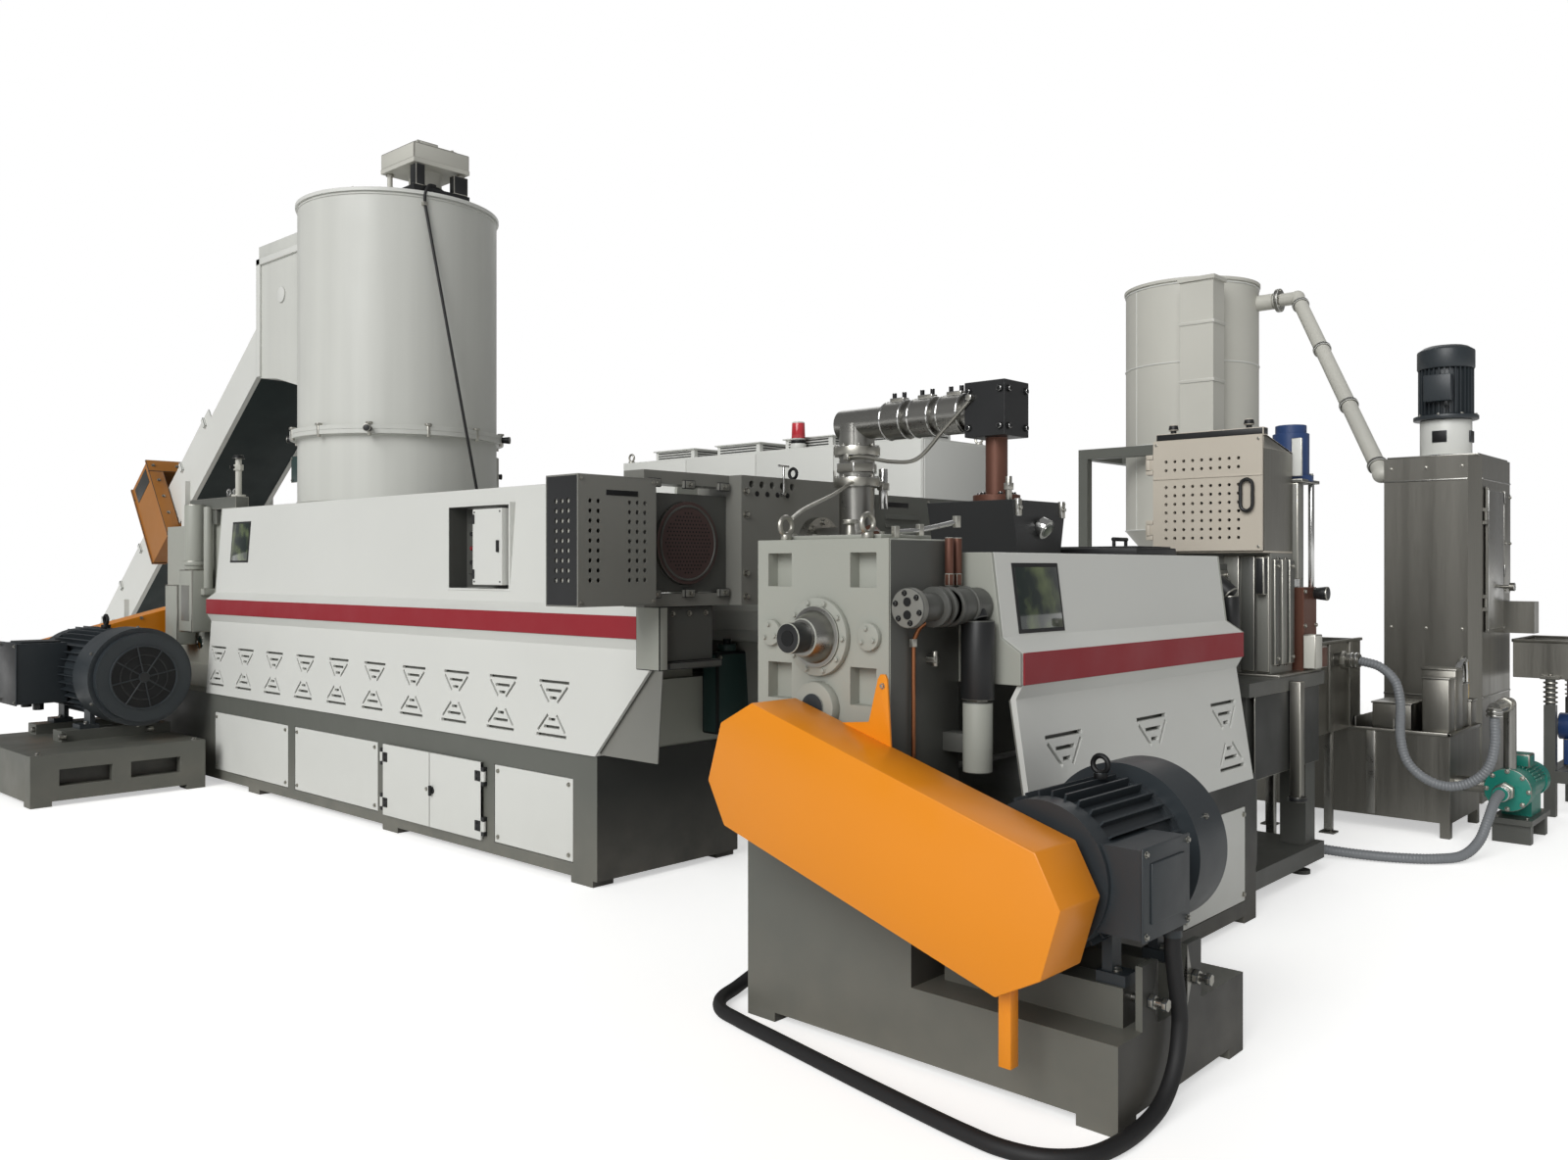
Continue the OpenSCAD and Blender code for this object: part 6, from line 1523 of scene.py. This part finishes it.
class LINE_OT_dryer(bpy.types.Operator):
    """Fit the dryer tower, its door and motor, and the vibrating sieve"""

    bl_idname = "line.dryer"
    bl_label = "Dryer and sieve"

    def execute(self, context):
        t = Fitting("dryer_fittings", "bright_steel")
        # Folded joints of the tower sheets, top rim and latches
        for z in (700, 1960):
            t.box(3876, 3884, -640, -190, z, z + 10, 2)
            t.box(3940, 4604, -704, -696, z, z + 10, 2)
            t.box(4596, 4604, -700, -190, z, z + 10, 2)
            t.box(3880, 4604, -194, -186, z, z + 10, 2)
        t.use("stainless").box(3900, 4590, -690, -200, 2098, 2112, 4)
        t.box(4410, 4560, -712, -698, 1300, 1900, 3)
        t.use("black_paint")
        for z in (1840, 1400):
            t.box(4384, 4404, -722, -699, z, z + 70, 4)
        t.use("zinc").bolts((4425, 4545), -712, (1320, 1600, 1880), -Y, 8)
        t.bolts(3880, (-610, -420, -230), (160, 1100, 2040), -X, 8)
        t.use("bright_steel").box(3872, 3882, -560, -300, 300, 640, 4)
        t.use("zinc").bolts(3872, (-545, -315), (320, 620), -X, 8)
        t.made()
        self.motor()
        d = Fitting("tower_door_fittings", "chrome")
        d.ring((4290, -790, 1340), Y, 22, 3)
        d.use("bright_steel").box(3990, 4340, -723, -719, 1100, 1900, 2)
        d.use("zinc")
        for x in (3976, 4354):
            for z in (1094, 1906):
                d.bar_y(-720, -724, x, z, 7, sides=12, edge=0.8)
        d.made("tower_door")
        s = Fitting("sieve_fittings", "stainless")
        # Sieve deck with its bars, springs, motors, outlet and control box
        for x in spaced(4410, 4920, 18):
            s.use("bright_steel").bar_y(-2190, -770, x, 935, 4, sides=8, edge=0)
        for y in spaced(-2150, -810, 8):
            s.box(4398, 4932, y, y + 10, 915, 931, 1)
        s.use("stainless")
        for y in (-2206, -766):
            s.box(4384, 4946, y, y + 12, 1010, 1028, 2)
        for x in (4384, 4934):
            s.box(x, x + 12, -2206, -754, 1010, 1028, 2)
        s.box(4382, 4392, -1900, -1500, 840, 980, 4)
        for y in (-2050, -1010):
            for x in (4330, 4940):
                for k in range(5):
                    s.use("zinc").ring((x + 30, y + 50, 668 + 28 * k), Z, 32, 6, 24)
        s.use("yellow_paint").bar_y(-1720, -1340, 4665, 670, 96, edge=6)
        for y in (-1712, -1352):
            s.bar_y(y, y + 4, 4665, 670, 102, edge=2)
        s.use("blue_paint").bar_y(-1250, -950, 4665, 500, 80, edge=6)
        s.box(4600, 4730, -1230, -980, 272, 430, 5)
        s.use("nylon").box(4326, 4334, -1420, -1240, 300, 560, 5)
        s.use("pale_paint").box(4334, 4390, -1430, -1230, 290, 570, 5)
        s.use("zinc").bolts((4360, 4970), (-2000, -960), 820, Z, 9)
        s.made()
        return {"FINISHED"}

    def motor(self):
        """The motor on the tower: round adapter with two windows, finned body, terminal box and cowl."""
        t = Fitting("tower_motor_casting", "slate_paint")
        foot = Vector((4200, -445, 0))

        def round_part(finish, low, high, radius, end_radius=None, edge=4):
            t.use(finish).rod(foot + Z * low, foot + Z * high, radius, end_radius, sides=48, edge=edge)

        round_part("white_paint", 2100, 2124, 172)
        round_part("white_paint", 2124, 2340, 140)
        round_part("slate_paint", 2340, 2365, 176)
        round_part("slate_paint", 2365, 2650, 132, edge=2)
        round_part("slate_paint", 2645, 2760, 156, edge=8)
        round_part("slate_paint", 2760, 2780, 150, 120)
        for k in range(32):
            out = Matrix.Rotation(2 * math.pi * k / 32, 3, "Z") @ X
            across = Z.cross(out) * 3
            spots = (out * 120 - across, out * 150 - across, out * 150 + across, out * 120 + across)
            t.prism([(foot.x + q.x, foot.y + q.y) for q in spots], "z", 2370, 2644, 0)
        t.use("black_oxide").box(4056, 4066, -485, -405, 2200, 2270, 3)
        t.box(4160, 4240, -590, -580, 2200, 2270, 3)
        t.use("slate_paint").box(4005, 4070, -520, -370, 2440, 2600, 8)
        t.use("nylon").bar_z(2440, 2412, 4030, -490, 16, sides=6)
        t.use("black_paint")
        for r in (45, 75, 105):
            t.ring(foot + Z * 2781, Z, r, 4, 40)
        t.use("zinc").bolt_circle(foot + Z * 2365, Z, 162, 8, 9)
        t.made(slot="slate_paint", replaces=["tower_motor"])


class LINE_OT_silo(bpy.types.Operator):
    """Fit the pellet silo, its air pipe and the control cabinet"""

    bl_idname = "line.silo"
    bl_label = "Silo and cabinet"

    def execute(self, context):
        s = Fitting("silo_fittings", "white_paint")
        silo = (5660, 1810)
        for z in (1756, 2430, 3060, 3676):
            s.ring((*silo, z), Z, 516, 6, 80)
        for degrees in (150, 300, 40):
            a = math.radians(degrees)
            x, y = silo[0] + 515 * math.cos(a), silo[1] + 515 * math.sin(a)
            s.bar_z(1760, 3674, x, y, 3.5, sides=8, edge=0)
        s.use("zinc").bolt_circle((*silo, 3715), Z, 480, 16, 9)
        s.bolt_circle((*silo, 3760), Z, 170, 8, 9)
        s.use("bright_steel").bar_z(1098, 1120, *silo, 130, edge=3)
        s.box(5560, 5760, 1640, 1980, 1112, 1128, 3)
        s.use("nylon").bar_y(1640, 1590, 5660, 1120, 14)
        s.bar_y(1590, 1575, 5660, 1120, 32)
        # Foot plates of the stand, set inward from its legs
        for x, bolt_x in ((5090, 5130), (6230, 6190)):
            for y in (1190, 2430):
                s.use("grey_paint").box(x - 90, x + 90, y - 90, y + 90, 0, 14, 3)
                s.use("zinc").bolts(bolt_x, (y - 68, y + 68), 14, Z, 10)
        # Level window and duct joints
        a = math.radians(218)
        out = Vector((math.cos(a), math.sin(a), 0))
        for z in (2050, 2900):
            foot = Vector((*silo, z)) + out * 512
            s.use("bright_steel").rod(foot, foot + out * 12, 70, edge=3)
            s.use("window").rod(foot + out * 12, foot + out * 15, 52)
        s.use("pale_paint")
        for z in (2416, 2860, 3300):
            s.box(4992, 5208, 1335, 1613, z, z + 24, 3)
        # Flanges and clamps of the air pipe
        a, b = Vector((4240, -70, 2040)), Vector((5750, 995, 3550))
        way = (b - a).normalized()
        s.use("bright_steel")
        for along in (0.04, 0.34, 0.66, 0.95):
            spot = a + (b - a) * along
            s.rod(spot - way * 14, spot + way * 14, 62, edge=3)
        s.bar_y(1120, 1150, 5750, 3550, 92, edge=3)
        s.bar_y(-190, -174, 4240, 2040, 84, edge=3)
        s.use("zinc").bolt_circle((5750, 1120, 3550), -Y, 76, 6, 8)
        s.bolt_circle((4240, -174, 2040), Y, 70, 6, 8)
        s.made()
        c = Fitting("cabinet_fittings", "white_paint")
        # Four doors on each long side with handles and hinges
        for face, side in ((1500, -1), (2150, 1)):
            for k in range(4):
                y0, y1 = 1478 + 630 * k, 2098 + 630 * k
                c.use("white_paint").box(face, face + side * 6, y0, y1 + 2, 112, 2158, 3)
                c.use("nylon").box(face + side * 6, face + side * 22, y0 + 30, y0 + 54, 1040, 1180, 4)
                c.use("zinc")
                for z in (300, 1150, 1980):
                    c.box(face, face + side * 12, y1 - 8, y1 + 6, z - 40, z + 40, 2)
                # Dark strips on each door are painted shade in its vent slots
                c.use("painted_shade_and_seam")
                for z in spaced(260, 480, 8):
                    c.box(face + side * 5, face + side * 7, y0 + 140, y1 - 140, z, z + 12, 0)
        for y in (1468, 4002):
            c.use("white_paint").box(1512, 2138, y - 2, y + 4, 112, 2158, 3)
        # Roof vents with slots, lifting eyes and the lamp
        for k in range(4):
            y0 = 1620 + 600 * k
            c.use("white_paint").box(1606, 1994, y0 - 14, y0 + 394, 2238, 2246, 3)
            # Dark strips are painted shade in the slots of the vents
            c.use("painted_shade_and_seam")
            for z in (2190, 2206, 2222):
                c.box(1617, 1621, y0 + 30, y0 + 350, z, z + 7, 0)
                c.box(1979, 1983, y0 + 30, y0 + 350, z, z + 7, 0)
                c.box(1650, 1950, y0 - 3, y0 + 1, z, z + 7, 0)
        c.use("zinc")
        for x in (1540, 2110):
            for y in (1510, 3960):
                c.bar_z(2168, 2182, x, y, 22)
                c.ring((x, y, 2206), X, 24, 7)
        lamp = (1550, 2430)
        c.use("white_paint").bar_z(2168, 2200, *lamp, 48, edge=4)
        c.use("black_oxide").bar_z(2200, 2222, *lamp, 44)
        c.use("beacon").bar_z(2222, 2334, *lamp, 42, 38, edge=10)
        c.made()
        return {"FINISHED"}


# Eye of the camera in millimetres from the datum, and the way it looks along x and y
EYE = (-3950, -2510, 1450)
VIEW_WAY = (0.7361, 0.6769)
# How far the lens is shifted down, as a share of the picture's width
LENS_SHIFT = -0.0075
# Width of each lamp in radians, which sets how soft the shadows are
LAMP_WIDTH = 0.7
# Half the side of the floor, and the distances where it starts to fade and is white, in metres
FLOOR_REACH, FADE_START, FADE_END = 60, 8.0, 15.0


class LINE_OT_studio(bpy.types.Operator):
    """Set up the floor, the lamps and the camera"""

    bl_idname = "line.studio"
    bl_label = "Studio"

    def execute(self, context):
        scene, s = context.scene, context.scene.line_studio
        scene.view_settings.view_transform = "Standard"
        self.floor(scene)
        self.sky(scene, s)
        for name, way, power in (("key", (-0.85, -0.2, 0.5), s.key), ("back", (0.7, 0.5, 0.6), s.back)):
            lamp = bpy.data.lights.new(name + "_lamp", "SUN")
            lamp.angle = LAMP_WIDTH
            lamp.energy = power
            holder = bpy.data.objects.new(name + "_lamp", lamp)
            holder.rotation_euler = Vector(way).to_track_quat("Z", "Y").to_euler()
            scene.collection.objects.link(holder)
        data = bpy.data.cameras.new("photo_camera")
        data.sensor_width = 36
        data.lens = s.lens
        data.shift_y = LENS_SHIFT
        data.clip_end = 200
        camera = bpy.data.objects.new("photo_camera", data)
        camera.location = at(*EYE)
        camera.rotation_euler = (math.pi / 2, 0, -math.atan2(*VIEW_WAY))
        scene.collection.objects.link(camera)
        scene.camera = camera
        return {"FINISHED"}

    def floor(self, scene):
        """A pale floor that keeps the shadow near the line and runs out to white."""
        tree, place = new_finish("floor", "Pale studio floor")
        flat = add(tree, "VectorMath", {0: place, 1: (1, 1, 0)}, operation="MULTIPLY").outputs["Vector"]
        away = add(tree, "VectorMath", {0: flat}, operation="LENGTH").outputs["Value"]
        span = {"Value": away, "From Min": FADE_START, "From Max": FADE_END}
        fade = add(tree, "MapRange", span, interpolation_type="SMOOTHSTEP").outputs["Result"]
        seen = add(tree, "LightPath").outputs["Is Camera Ray"]
        lift = add(tree, "Math", {0: seen, 1: 0.5}, operation="MULTIPLY").outputs["Value"]
        white = (1, 1, 1, 1)
        look = {"Base Color": (*linear("#F4F4F2"), 1), "Roughness": 0.8, "Specular IOR Level": 0.2}
        glow = {"Emission Color": white, "Emission Strength": lift}
        near = add(tree, "BsdfPrincipled", {**look, **glow}).outputs["BSDF"]
        far = add(tree, "Emission", {"Color": white, "Strength": 1.0}).outputs["Emission"]
        mixed = add(tree, "MixShader", {"Fac": fade, 1: near, 2: far})
        add(tree, "OutputMaterial", {"Surface": mixed.outputs["Shader"]})
        data = bpy.data.meshes.new("studio_floor")
        corners = [(x * FLOOR_REACH, y * FLOOR_REACH, 0) for x, y in ((-1, -1), (1, -1), (1, 1), (-1, 1))]
        data.from_pydata(corners, [], [(0, 1, 2, 3)])
        data.materials.append(FINISH["floor"])
        floor = bpy.data.objects.new("studio_floor", data)
        floor.location.z = -0.001
        scene.collection.objects.link(floor)

    def sky(self, scene, s):
        """Even light on the line, and plain white where the camera or glass sees past it."""
        world = bpy.data.worlds.new("studio_sky")
        world.use_nodes = True
        tree = world.node_tree
        tree.nodes.clear()
        path = add(tree, "LightPath").outputs
        rays = {0: path["Is Camera Ray"], 1: path["Is Transmission Ray"]}
        seen = add(tree, "Math", rays, operation="MAXIMUM").outputs["Value"]
        strength = add(tree, "MapRange", {"Value": seen, "To Min": s.sky, "To Max": 1.0}).outputs["Result"]
        light = add(tree, "Background", {"Color": (1, 1, 1, 1), "Strength": strength})
        add(tree, "OutputWorld", {"Surface": light.outputs["Background"]})
        scene.world = world


class LINE_PT_panel(bpy.types.Panel):
    """Lists the steps of the dressing"""

    bl_label = "Pelletizing Line"
    bl_idname = "LINE_PT_panel"
    bl_space_type = "VIEW_3D"
    bl_region_type = "UI"
    bl_category = "Pelletizing Line"

    def draw(self, context):
        for step in STEPS:
            self.layout.operator(step.bl_idname)
        for group in ("line_finishes", "line_sizes", "line_studio"):
            values = getattr(context.scene, group)
            for key in values.__annotations__:
                self.layout.prop(values, key)


STEPS = (
    LINE_OT_finishes,
    LINE_OT_studio,
    LINE_OT_cords,
    LINE_OT_frames,
    LINE_OT_covers,
    LINE_OT_changer,
    LINE_OT_second_drive,
    LINE_OT_first_drive,
    LINE_OT_compactor,
    LINE_OT_belt,
    LINE_OT_pelletizer,
    LINE_OT_water,
    LINE_OT_dryer,
    LINE_OT_silo,
)
CLASSES = (LineFinishes, LineSizes, LineStudio, *STEPS, LINE_PT_panel)


def register():
    for cls in CLASSES:
        bpy.utils.register_class(cls)
    bpy.types.Scene.line_finishes = PointerProperty(type=LineFinishes)
    bpy.types.Scene.line_sizes = PointerProperty(type=LineSizes)
    bpy.types.Scene.line_studio = PointerProperty(type=LineStudio)


def unregister():
    del bpy.types.Scene.line_studio
    del bpy.types.Scene.line_sizes
    del bpy.types.Scene.line_finishes
    for cls in reversed(CLASSES):
        bpy.utils.unregister_class(cls)


def main():
    register()
    for step in STEPS:
        group, name = step.bl_idname.split(".")
        getattr(getattr(bpy.ops, group), name)()


if __name__ == "__main__":
    main()
